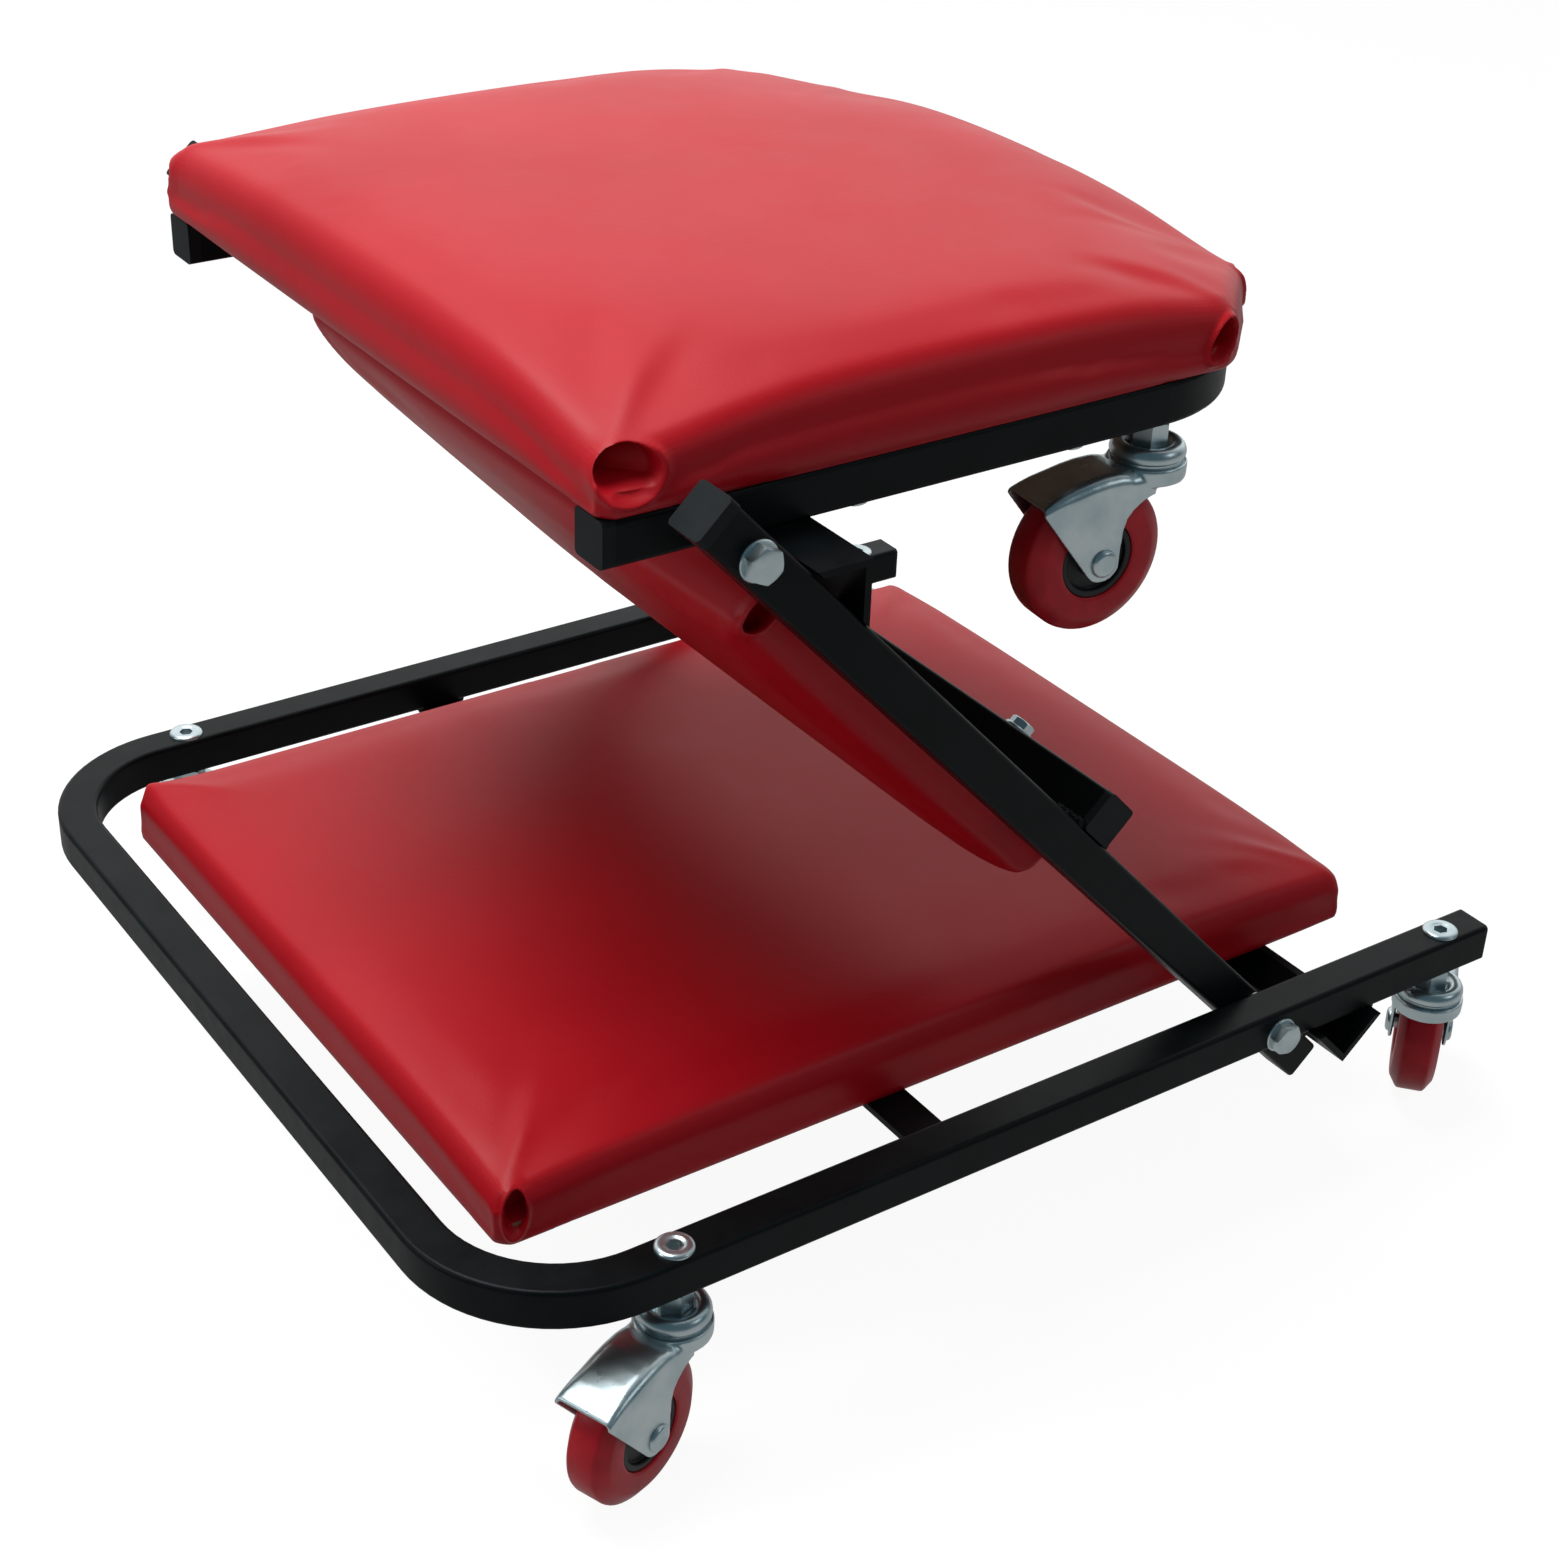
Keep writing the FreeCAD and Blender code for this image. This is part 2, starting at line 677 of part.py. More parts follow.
def fork():
    """Pressed fork: round neck, hood over the wheel and two legs down to the axle."""
    item = body("caster_fork")
    front = -s.neck_radius / 2
    skirt_low = s.neck_height - s.neck_skirt
    turns = (s.leg_rear_turn, s.leg_front_turn)
    rest = [(s.trail + s.fork_boss * cos(t), s.wheel_radius + s.fork_boss * sin(t)) for t in turns]
    rest += [(s.trail - s.throat_back, s.wheel_radius + s.throat_rise), (front, skirt_low)]
    side = fork_side(item, "Pad", s.hood_radius, s.neck_height, s.lip_turn, rest, s.fork_width)

    def hood_edge(edge):
        return edge.Curve.TypeId == "Part::GeomCircle" and edge.Curve.Radius > s.fork_boss

    soften(item, side, hood_edge, s.fork_round)
    boss = sketch(item, "XZ_Plane")
    draw_circle(boss, s.trail, s.wheel_radius, s.fork_boss)
    feature(item, "Pad", boss, s.fork_width, both_ways=True)
    neck = sketch(item, "XY_Plane", skirt_low)
    draw_circle(neck, 0, 0, s.neck_radius)
    feature(item, "Pad", neck, s.neck_skirt)
    under = s.wheel_radius - s.fork_boss - s.overrun
    hollow = s.hood_radius - s.fork_wall
    rest = [(s.hood_crest_out + hollow * cos(s.hollow_turn), under), (front, under)]
    inner_width = s.fork_width - s.fork_wall * 2
    fork_side(item, "Pocket", hollow, neck_under, s.hollow_turn, rest, inner_width)
    room = sketch(item, "XY_Plane", skirt_low - s.overrun)
    draw_circle(room, 0, 0, s.neck_radius - s.fork_wall)
    inside = feature(item, "Pocket", room, s.neck_skirt - s.neck_thick + s.overrun)
    inside.Reversed = True
    drill(item, "XY_Plane", [(0, 0)], pin_bore, (s.neck_height + s.overrun) * 2)
    axle_spot = (s.trail, s.wheel_radius)
    drill(item, "XZ_Plane", [axle_spot], s.axle_radius + s.run_fit, s.fork_width + s.overrun)
    return item


def both_sides(half_outline):
    """Mirrors the upper half of a turned outline, given from the bore outwards and up."""
    return [(radius, -level) for radius, level in half_outline] + half_outline[::-1]


def axle():
    """Riveted axle with a head outside each leg."""
    leg, head = s.fork_width / 2, s.fork_width / 2 + s.rivet_height
    return turned("caster_axle", both_sides([(0, head), (s.rivet_radius, head), (s.rivet_radius, leg),
                                             (s.axle_radius, leg)]))


def tyre():
    """Wheel tread ring with bevelled shoulders."""
    half, land = s.wheel_width / 2, s.wheel_land / 2
    shoulder = s.wheel_radius - s.wheel_bevel
    return turned("caster_tyre", both_sides([(s.hub_radius, half), (shoulder, half),
                                             (s.wheel_radius, land)]))


def hub():
    """Hub with a dished web, a rim under the tread and a boss between the legs."""
    rim, web = s.hub_width / 2, s.hub_width / 2 - s.hub_dish
    tip = s.fork_width / 2 - s.fork_wall - s.face_gap
    inner = s.hub_radius - s.hub_rim
    bore = s.axle_radius + s.run_fit
    return turned("caster_hub", both_sides([(bore, tip), (s.hub_boss, tip), (s.hub_boss, web),
                                            (inner, web), (inner, rim), (s.hub_radius, rim)]))


# Base: frame, plugs, crossbar, lower stop and the board between the arms.
base_length = s.closed_reach + s.open_reach
holes = [s.closed_caster_inset, base_length - s.open_caster_inset]
pivot_hole = (s.closed_reach + lower_x, -s.lower_pivot_drop)
base_frame = u_frame("base_frame", s.base_width, base_length, holes, pivot_hole)
place(base_frame, -s.closed_reach, 0, base_mid)

base_plug = plug("base_plug", s.base_plug_lid, 0)
caps = [copy("base_cap", base_plug, s.open_reach, y, base_mid) for y in (-arm_y, arm_y)]
kept = [base_frame, together("base_end_caps", caps)]

crossbar = body("base_crossbar")
plan = sketch(crossbar, "XY_Plane")
reach = s.base_width / 2 - s.crossbar_inset
half_bar = s.crossbar_width / 2
draw(plan, [(-half_bar, -reach), (half_bar, -reach), (half_bar, reach), (-half_bar, reach)])
feature(crossbar, "Pad", plan, s.crossbar_thick)
lower_width = (link_half - s.tube - s.lower_pad_clear) * 2
lower_screw_y = lower_width / 2 - s.lower_screw_inset
holes = [(0, -lower_screw_y), (0, lower_screw_y)]
drill(crossbar, "XY_Plane", holes, s.screw_radius + s.run_fit, (s.crossbar_thick + s.overrun) * 2)
kept.append(place(crossbar, -s.crossbar_x, 0, deck - s.crossbar_thick))

# The lower stop opens upwards, and the backs of the bars rest on its first leg.
stop_face = s.tube / 2 + s.face_gap
apex_z = deck - s.lower_stop_depth
apex_x = behind_at(stop_face, apex_z)
far_x = apex_x + s.lower_stop_depth * rise / run
lower_stop = body("lower_stop_angle")
outline = sketch(lower_stop, "XZ_Plane")
inner_x = apex_x + s.angle_thick * (rise - run)
inner_z = apex_z + s.angle_thick * (run + rise)
draw(outline, [(behind_at(stop_face, deck), deck), (apex_x, apex_z), (far_x, deck),
               (far_x - s.angle_thick / run, deck), (inner_x, inner_z),
               (behind_at(stop_face + s.angle_thick, deck), deck)])
width = s.base_width + s.lower_stop_overhang * 2
feature(lower_stop, "Pad", outline, width, both_ways=True)
# Between the arms its edges are cut down, so that the bars can lie flat over it.
relief = sketch(lower_stop, "XY_Plane", deck)
half_relief = s.base_width / 2 - s.tube - s.face_gap
draw(relief, [(apex_x - s.angle_leg, -half_relief), (apex_x + s.angle_leg, -half_relief),
              (apex_x + s.angle_leg, half_relief), (apex_x - s.angle_leg, half_relief)])
feature(lower_stop, "Pocket", relief, s.lower_stop_relief)
kept.append(lower_stop)

lower_start = s.closed_reach - s.tube - s.lower_pad_gap
lower_length = lower_start + s.open_reach - s.lower_pad_set_back
spots = [(lower_start - s.crossbar_x, y) for y in (-lower_screw_y, lower_screw_y)]
lower_board = board("lower_pad_board", lower_length, lower_width, None, spots)
kept.append(place(lower_board, -lower_start, 0, deck))
lower_cover = cushion("lower_cushion", lower_length, lower_width, None, s.lower_pad_height,
                      s.lower_pad_edge, s.pad_crown)
kept.append(place(lower_cover, -lower_start, 0, deck))
short_screw = hex_bolt("short_screw", s.screw_radius, s.crossbar_thick + s.screw_bite, s.screw_flats,
                       s.screw_head, s.screw_collar)
under_bar = deck - s.crossbar_thick
screws = [copy("lower_screw", short_screw, -s.crossbar_x, y, under_bar, [("x", 180)])
          for y in (-lower_screw_y, lower_screw_y)]
kept.append(together("lower_pad_screws", screws))

# Middle link: bars, plugs, cross tube, upper stop and its board.
bar_length = s.link_tail + s.link_length + s.link_head
bar = straight_tube("link_bar", bar_length, [s.link_tail, s.link_tail + s.link_length])
for label, y in (("link_bar_right", -bar_y), ("link_bar_left", bar_y)):
    kept.append(copy(label, bar, *link_spot(-s.link_tail, 0, y), [on_link]))
bar_plug = plug("bar_plug", s.plug_lid, s.plug_lip)
bar_end = s.link_length + s.link_head
caps = [copy("bar_cap", bar_plug, *link_spot(bar_end, 0, y), [on_link]) for y in (-bar_y, bar_y)]
kept.append(together("link_bar_caps", caps))

middle_width = (link_half - s.tube - s.middle_pad_clear) * 2
middle_screw_y = middle_width / 2 - s.middle_screw_inset
cross_half = link_half - s.cross_tube_lid
holes = [cross_half - middle_screw_y, cross_half + middle_screw_y]
cross = straight_tube("cross_tube", cross_half * 2, (), holes)
along_y = [on_link, ("z", 90)]
kept.append(copy("link_cross_tube", cross, *link_spot(s.cross_tube_at, s.tube, -cross_half), along_y))
cross_plug = plug("cross_plug", s.cross_tube_lid, 0)
right_end = link_spot(s.cross_tube_at, s.tube, -cross_half)
left_end = link_spot(s.cross_tube_at, s.tube, cross_half)
caps = [copy("cross_cap", cross_plug, *right_end, [on_link, ("z", -90)]),
        copy("cross_cap", cross_plug, *left_end, along_y)]
kept.append(together("cross_tube_caps", caps))

# The upper stop's flat leg carries the seat arms, its other leg stands on the bars' backs.
stop_top = seat_deck - s.face_gap
stop_x = behind_at(s.tube / 2, stop_top - s.angle_leg)
tip_behind = s.tube / 2 + s.seat_pivot_rise + s.face_gap
under = stop_top - s.angle_thick
inner_x = stop_x - s.angle_thick
foot_z = stop_top - s.angle_leg
foot_inner_z = foot_z + s.angle_thick * rise / run
upper_stop = body("upper_stop_angle")
outline = sketch(upper_stop, "XZ_Plane")
draw(outline, [(stop_x, stop_top), (behind_at(tip_behind, stop_top), stop_top),
               (behind_at(tip_behind, under), under), (inner_x, under), (inner_x, foot_inner_z),
               (stop_x, foot_z)])
feature(upper_stop, "Pad", outline, link_half * 2, both_ways=True)
kept.append(upper_stop)

middle_length = s.link_length - s.middle_pad_end_gap - s.middle_pad_start
spots = [(s.cross_tube_at - s.middle_pad_start, y) for y in (-middle_screw_y, middle_screw_y)]
middle_spot = link_spot(s.middle_pad_start, s.tube / 2)
middle_board = board("middle_pad_board", middle_length, middle_width, None, spots)
kept.append(place(middle_board, *middle_spot, [on_link]))
middle_cover = cushion("middle_cushion", middle_length, middle_width, None, s.middle_pad_height,
                       s.pad_edge, s.pad_crown)
kept.append(place(middle_cover, *middle_spot, [on_link]))
long_screw = hex_bolt("long_screw", s.screw_radius, s.tube + s.screw_bite, s.screw_flats,
                      s.screw_head, s.screw_collar)
cross_back = s.tube * 3 / 2
screws = [copy("middle_screw", long_screw, *link_spot(s.cross_tube_at, cross_back, y),
               [on_link, ("x", 180)]) for y in (-middle_screw_y, middle_screw_y)]
kept.append(together("middle_pad_screws", screws))

# Seat: frame, plugs, board, cover, screws and the small buffer under one arm.
screws_along = (s.seat_screw_offset, s.seat_reach - s.seat_screw_inset)
holes = [s.seat_caster_inset]
pivot_hole = (s.seat_reach, s.seat_pivot_rise)
screw_spots = [s.seat_reach - along for along in screws_along]
seat_frame = u_frame("seat_frame", seat_half * 2, s.seat_reach + s.seat_tail, holes, pivot_hole,
                     screw_spots)
kept.append(place(seat_frame, upper_x + s.seat_reach, 0, seat_mid, [("z", 180)]))
seat_plug = plug("seat_plug", s.plug_lid, 0)
caps = [copy("seat_cap", seat_plug, upper_x - s.seat_tail, y, seat_mid, [("z", 180)])
        for y in (-seat_y, seat_y)]
kept.append(together("seat_frame_caps", caps))
seat_length = s.seat_pad_tail + s.seat_reach
seat_width = (seat_half + s.seat_pad_overhang) * 2
spots = [(s.seat_pad_tail + along, y) for along in screws_along for y in (-seat_y, seat_y)]
seat_board = board("seat_board", seat_length, seat_width, s.seat_pad_cut, spots)
kept.append(place(seat_board, upper_x - s.seat_pad_tail, 0, seat_top))
seat_cover = cushion("seat_cushion", seat_length, seat_width, s.seat_pad_cut, s.seat_pad_height,
                     s.seat_pad_edge, s.seat_pad_crown)
kept.append(place(seat_cover, upper_x - s.seat_pad_tail, 0, seat_top))
screws = [copy("seat_screw", long_screw, upper_x + along, y, seat_deck, [("x", 180)])
          for along in screws_along for y in (-seat_y, seat_y)]
kept.append(together("seat_screws", screws))
tip = s.buffer_radius - s.buffer_round
buffer = turned("arm_buffer", [(0, -s.buffer_height), (tip, -s.buffer_height),
                               (s.buffer_radius, s.buffer_round - s.buffer_height),
                               (s.buffer_radius, 0), (0, 0)])
kept.append(place(buffer, upper_x, seat_y, seat_deck))

# Pivots: a bolt and a nut on each side, a washer below and a spacer above.
outward = {-1: [("x", 90)], 1: [("x", -90)]}
inward = {-1: [("x", -90)], 1: [("x", 90)]}
bar_inner = link_half - s.tube
lower_nut_y = bar_inner - s.face_gap
upper_nut_y = seat_half - s.tube - s.face_gap
ends = s.nut_height + s.thread_proud
lower_bolt = hex_bolt("lower_bolt", s.bolt_radius, s.base_width / 2 - lower_nut_y + ends,
                      s.bolt_flats, s.bolt_head, s.collar_radius)
upper_bolt = hex_bolt("upper_bolt", s.bolt_radius, link_half - upper_nut_y + ends,
                      s.bolt_flats, s.bolt_head, s.collar_radius)
nut = hex_nut("nut", s.bolt_radius, s.nut_flats, s.nut_height)
bore = s.bolt_radius + s.run_fit
washer = ring("washer", bore, s.washer_radius, s.link_gap - s.face_gap)
spacer = ring("spacer", bore, s.spacer_radius, s.spacer_length - s.face_gap)
for label, master, x, y, z, turns in (
    ("lower_pivot_bolts", lower_bolt, lower_x, s.base_width / 2, lower_z, outward),
    ("lower_pivot_nuts", nut, lower_x, lower_nut_y, lower_z, inward),
    ("lower_pivot_washers", washer, lower_x, s.base_width / 2 - s.tube, lower_z, inward),
    ("upper_pivot_bolts", upper_bolt, upper_x, link_half, upper_z, outward),
    ("upper_pivot_nuts", nut, upper_x, upper_nut_y, upper_z, inward),
    ("upper_spacers", spacer, upper_x, bar_inner - s.face_gap, upper_z, inward),
):
    pair = [copy("pivot_piece", master, x, y * side, z, turns[side]) for side in (-1, 1)]
    kept.append(together(label, pair))

# Six casters: what is fixed to a frame is one sub-part for each frame.
pieces = {"stems": stem(), "races": race(), "balls": ball_ring()}
sleeves = {"base": sleeve(), "seat": flush_sleeve()}
turning = {"fork": fork()}
rolling = {"axle": axle(), "tyre": tyre(), "hub": hub()}
seat_drop = seat_deck - deck
seat_x = upper_x + s.seat_reach - s.seat_caster_inset
closed_x, open_x = s.closed_caster_inset - s.closed_reach, s.open_reach - s.open_caster_inset
frames = {
    "base": (("closed_right", closed_x, -arm_y, 0, s.closed_right_swivel),
             ("closed_left", closed_x, arm_y, 0, s.closed_left_swivel),
             ("open_right", open_x, -arm_y, 0, s.open_right_swivel),
             ("open_left", open_x, arm_y, 0, s.open_left_swivel)),
    "seat": (("seat_right", seat_x, -seat_y, seat_drop, s.seat_right_swivel),
             ("seat_left", seat_x, seat_y, seat_drop, s.seat_left_swivel)),
}
for frame, casters in frames.items():
    for kind, master in {**pieces, "nuts": sleeves[frame]}.items():
        set_of = [copy("fixed_piece", master, x, y, z) for _, x, y, z, _ in casters]
        kept.append(together(f"{frame}_caster_{kind}", set_of))
    for name, x, y, z, swivel in casters:
        for kind, master in turning.items():
            kept.append(copy(f"{name}_{kind}", master, x, y, z, [("z", swivel)]))
        wheel_spot = (x + s.trail * cos(swivel), y + s.trail * sin(swivel), z + s.wheel_radius)
        for kind, master in rolling.items():
            kept.append(copy(f"{name}_{kind}", master, *wheel_spot, [("z", swivel), ("x", -90)]))

doc.recompute()
failed = [item.Label for item in doc.Objects if "Invalid" in item.State or "Error" in item.State]
failed += [item.Label for item in kept if item.Shape.isNull() or not item.Shape.isValid()]
if failed:
    raise RuntimeError(f"these pieces failed: {failed}")
os.makedirs("parts", exist_ok=True)
for item in kept:
    item.Shape.exportStep(f"parts/{item.Label}.step")
print(len(kept), "sub-parts,", sum(len(item.Shape.Solids) for item in kept), "solids")
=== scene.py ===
import json
import math

import bmesh
import bpy
import numpy as np
from mathutils import Matrix, Vector


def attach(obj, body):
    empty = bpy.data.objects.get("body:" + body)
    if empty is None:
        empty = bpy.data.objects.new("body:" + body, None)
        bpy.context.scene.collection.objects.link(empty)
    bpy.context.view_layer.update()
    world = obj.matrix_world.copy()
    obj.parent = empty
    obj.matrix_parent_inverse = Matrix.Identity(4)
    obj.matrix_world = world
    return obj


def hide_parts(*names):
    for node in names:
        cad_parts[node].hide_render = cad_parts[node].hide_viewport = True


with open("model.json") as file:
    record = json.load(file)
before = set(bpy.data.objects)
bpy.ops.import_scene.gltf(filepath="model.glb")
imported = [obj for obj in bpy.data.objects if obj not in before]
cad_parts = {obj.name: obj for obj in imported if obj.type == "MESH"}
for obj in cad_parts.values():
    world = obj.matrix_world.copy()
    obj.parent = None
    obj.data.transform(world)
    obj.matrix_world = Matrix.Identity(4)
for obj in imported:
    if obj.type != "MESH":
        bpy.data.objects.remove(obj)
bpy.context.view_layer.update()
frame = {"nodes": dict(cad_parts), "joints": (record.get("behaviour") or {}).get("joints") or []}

# Sizes are in metres, in the frame of the imported model, but the outlines of turned,
# headed and pressed pieces are in millimetres.
scene = bpy.context.scene
nodes = frame["nodes"]

# The camera stands at the photograph's place and angle, for a square picture,
# with the place, angles and focal length solved from the frame's straight edges.
PHOTO_SIDE = 1559
FOCAL_PIXELS = 2665.5
CAMERA_SPOT = (-0.6330, -0.9099, 0.7951)
azimuth, elevation, roll = (math.radians(angle) for angle in (-35.397, 30.635, 2.339))
back = Vector((math.sin(azimuth) * math.cos(elevation), -math.cos(azimuth) * math.cos(elevation),
               math.sin(elevation)))
right = (-back).cross(Vector((0, 0, 1))).normalized()
up = right.cross(-back)
right, up = (right * math.cos(roll) + up * math.sin(roll),
             up * math.cos(roll) - right * math.sin(roll))
camera = bpy.data.objects.new("camera", bpy.data.cameras.new("camera"))
scene.collection.objects.link(camera)
camera.matrix_world = (Matrix.Translation(CAMERA_SPOT)
                       @ Matrix((right, up, back)).transposed().to_4x4())
camera.data.sensor_width = 36
camera.data.lens = camera.data.sensor_width * FOCAL_PIXELS / PHOTO_SIDE
scene.camera = camera
scene.view_settings.view_transform = "Standard"


# The floor is a plain pale sheet: white where the camera sees it, with the
# object's soft shadow kept by its share of diffuse light, dimmer where shiny
# pieces mirror it, and grey to all other light.
def node_material(name):
    """A fresh material, its nodes and a function that links two sockets."""
    material = bpy.data.materials.new(name)
    material.use_nodes = True
    material.node_tree.nodes.clear()
    return material, material.node_tree.nodes, material.node_tree.links.new


def ray_kind(tree, link, *rays):
    """1 for rays of any of these kinds, otherwise 0."""
    path = tree.new("ShaderNodeLightPath")
    seen = path.outputs[rays[0]]
    for ray in rays[1:]:
        largest = tree.new("ShaderNodeMath")
        largest.operation = "MAXIMUM"
        link(seen, largest.inputs[0])
        link(path.outputs[ray], largest.inputs[1])
        seen = largest.outputs[0]
    return seen


def mixed(tree, link, share, first, second):
    """Blends two shaders by a share from 0 to 1."""
    mix = tree.new("ShaderNodeMixShader")
    link(share, mix.inputs[0])
    link(first.outputs[0], mix.inputs[1])
    link(second.outputs[0], mix.inputs[2])
    return mix


FLOOR_GREY = (0.36, 0.37, 0.38, 1)
FLOOR_GLOW = 0.93
FLOOR_SHARE = 0.14
FLOOR_MIRRORED = 0.45
floor_paint, tree, link = node_material("pale_floor")
plain = tree.new("ShaderNodeBsdfDiffuse")
plain.inputs["Color"].default_value = FLOOR_GREY
shadowed = tree.new("ShaderNodeBsdfDiffuse")
shadowed.inputs["Color"].default_value = (FLOOR_SHARE, FLOOR_SHARE, FLOOR_SHARE, 1)
glow = tree.new("ShaderNodeEmission")
glow.inputs["Strength"].default_value = FLOOR_GLOW
both = tree.new("ShaderNodeAddShader")
link(shadowed.outputs[0], both.inputs[0])
link(glow.outputs[0], both.inputs[1])
seen = ray_kind(tree, link, "Is Camera Ray", "Is Transmission Ray")
pale = tree.new("ShaderNodeEmission")
pale.inputs["Strength"].default_value = FLOOR_MIRRORED
unseen = mixed(tree, link, ray_kind(tree, link, "Is Glossy Ray"), plain, pale)
surface = mixed(tree, link, seen, unseen, both)
link(surface.outputs[0], tree.new("ShaderNodeOutputMaterial").inputs["Surface"])
FLOOR_SIDE = 14
bpy.ops.mesh.primitive_plane_add(size=FLOOR_SIDE)
floor = bpy.context.object
floor.name = "floor"
floor.data.materials.append(floor_paint)

# Soft studio light: a pale world, one wide lamp above and weaker ones at the sides.
# The world is white behind the object; shiny surfaces see a lit wall on its far
# side in a darker room, which gives the plated steel its dark and light bands.
FILL_STRENGTH = 0.23
ROOM_STRENGTH = 1.25
WALL_WAY = (0.52, 0.74, 0.42)
AIM = Vector((0, 0, 0.2))
world = bpy.data.worlds.new("studio")
scene.world = world
world.use_nodes = True
tree, link = world.node_tree.nodes, world.node_tree.links.new
tree.clear()
fill = tree.new("ShaderNodeBackground")
fill.inputs["Color"].default_value = (0.95, 0.97, 1.0, 1)
fill.inputs["Strength"].default_value = FILL_STRENGTH
white = tree.new("ShaderNodeBackground")
white.inputs["Color"].default_value = (1, 1, 1, 1)
white.inputs["Strength"].default_value = 1.0
toward_wall = tree.new("ShaderNodeVectorMath")
toward_wall.operation = "DOT_PRODUCT"
toward_wall.inputs[1].default_value = WALL_WAY
link(tree.new("ShaderNodeTexCoord").outputs["Generated"], toward_wall.inputs[0])
wall = tree.new("ShaderNodeValToRGB")
wall.color_ramp.elements[0].position = 0.30
wall.color_ramp.elements[0].color = (0.05, 0.09, 0.11, 1)
wall.color_ramp.elements[1].position = 0.86
wall.color_ramp.elements[1].color = (1, 1, 1, 1)
link(toward_wall.outputs["Value"], wall.inputs[0])
room = tree.new("ShaderNodeBackground")
room.inputs["Strength"].default_value = ROOM_STRENGTH
link(wall.outputs[0], room.inputs["Color"])
behind = mixed(tree, link, ray_kind(tree, link, "Is Camera Ray", "Is Transmission Ray"), fill, white)
shown = mixed(tree, link, ray_kind(tree, link, "Is Glossy Ray"), behind, room)
link(shown.outputs[0], tree.new("ShaderNodeOutputWorld").inputs["Surface"])
for name, spot, size, power in (("lamp_above", (-0.4, 0.5, 2.1), 1.3, 35),
                                ("lamp_left", (-2.1, 0.5, 1.3), 0.9, 7),
                                ("lamp_right", (1.4, -1.8, 1.6), 0.9, 3)):
    lamp = bpy.data.objects.new(name, bpy.data.lights.new(name, "AREA"))
    lamp.data.shape = "DISK"
    lamp.data.size = size
    lamp.data.energy = power
    lamp.location = spot
    lamp.rotation_euler = (AIM - Vector(spot)).to_track_quat("-Z", "Y").to_euler()
    scene.collection.objects.link(lamp)


# Base frame, bars, stops and seat frame: square steel tube and angle iron in
# black powder coat, satin, with a fine orange peel and paler rubbed spots.
class Finish:
    """One principled shader and the steps that dress it."""

    def __init__(self, name, color, roughness, metallic=0.0, specular=0.5):
        self.material, self.tree, self.link = node_material(name)
        self.shader = self.tree.new("ShaderNodeBsdfPrincipled")
        self.shader.inputs["Base Color"].default_value = (*color, 1)
        self.shader.inputs["Roughness"].default_value = roughness
        self.shader.inputs["Metallic"].default_value = metallic
        self.shader.inputs["Specular IOR Level"].default_value = specular
        self.link(self.shader.outputs[0], self.tree.new("ShaderNodeOutputMaterial").inputs["Surface"])
        self.place = self.tree.new("ShaderNodeTexCoord").outputs["Object"]
        self.normal = None

    def noise(self, scale, detail=3.0, stretch=(1, 1, 1)):
        """Soft spots, a number of them for each metre."""
        turn = self.tree.new("ShaderNodeMapping")
        turn.inputs["Scale"].default_value = stretch
        self.link(self.place, turn.inputs["Vector"])
        node = self.tree.new("ShaderNodeTexNoise")
        node.inputs["Scale"].default_value = scale
        node.inputs["Detail"].default_value = detail
        self.link(turn.outputs[0], node.inputs["Vector"])
        return node.outputs["Fac"]

    def cells(self, scale):
        """Rounded cells, a number of them for each metre."""
        node = self.tree.new("ShaderNodeTexVoronoi")
        node.feature = "SMOOTH_F1"
        node.inputs["Scale"].default_value = scale
        self.link(self.place, node.inputs["Vector"])
        return node.outputs["Distance"]

    def rough(self, value, low, high):
        """Lets the roughness follow a value."""
        node = self.tree.new("ShaderNodeMapRange")
        node.inputs["To Min"].default_value = low
        node.inputs["To Max"].default_value = high
        self.link(value, node.inputs["Value"])
        self.link(node.outputs[0], self.shader.inputs["Roughness"])

    def color(self, value, *stops):
        """Colours along a value; each stop is a position and a colour."""
        node = self.tree.new("ShaderNodeValToRGB")
        points = node.color_ramp.elements
        while len(points) < len(stops):
            points.new(0.5)
        for point, (position, color) in zip(points, stops):
            point.position = position
            point.color = (*color, 1)
        self.link(value, node.inputs[0])
        self.link(node.outputs[0], self.shader.inputs["Base Color"])

    def bump(self, value, depth, strength=1.0):
        """Adds one relief of a depth in metres."""
        node = self.tree.new("ShaderNodeBump")
        node.inputs["Distance"].default_value = depth
        node.inputs["Strength"].default_value = strength
        self.link(value, node.inputs["Height"])
        if self.normal:
            self.link(self.normal, node.inputs["Normal"])
        self.normal = node.outputs["Normal"]
        self.link(self.normal, self.shader.inputs["Normal"])


def paint(names, finish):
    """Gives CAD nodes their finish."""
    for name in names:
        for slot in nodes[name].material_slots:
            slot.material = finish.material


black_coat = Finish("black_powder_coat", (0.005, 0.0055, 0.006), 0.38, specular=0.10)
black_coat.color(black_coat.noise(45, 4),
                 (0.35, (0.0025, 0.004, 0.0045)), (0.7, (0.005, 0.008, 0.009)))
black_coat.rough(black_coat.noise(120), 0.30, 0.44)
black_coat.bump(black_coat.noise(1500, 2), 0.00010, 0.4)
paint(["base_frame", "base_crossbar", "lower_stop_angle", "link_bar_right", "link_bar_left",
       "link_cross_tube", "upper_stop_angle", "seat_frame"], black_coat)


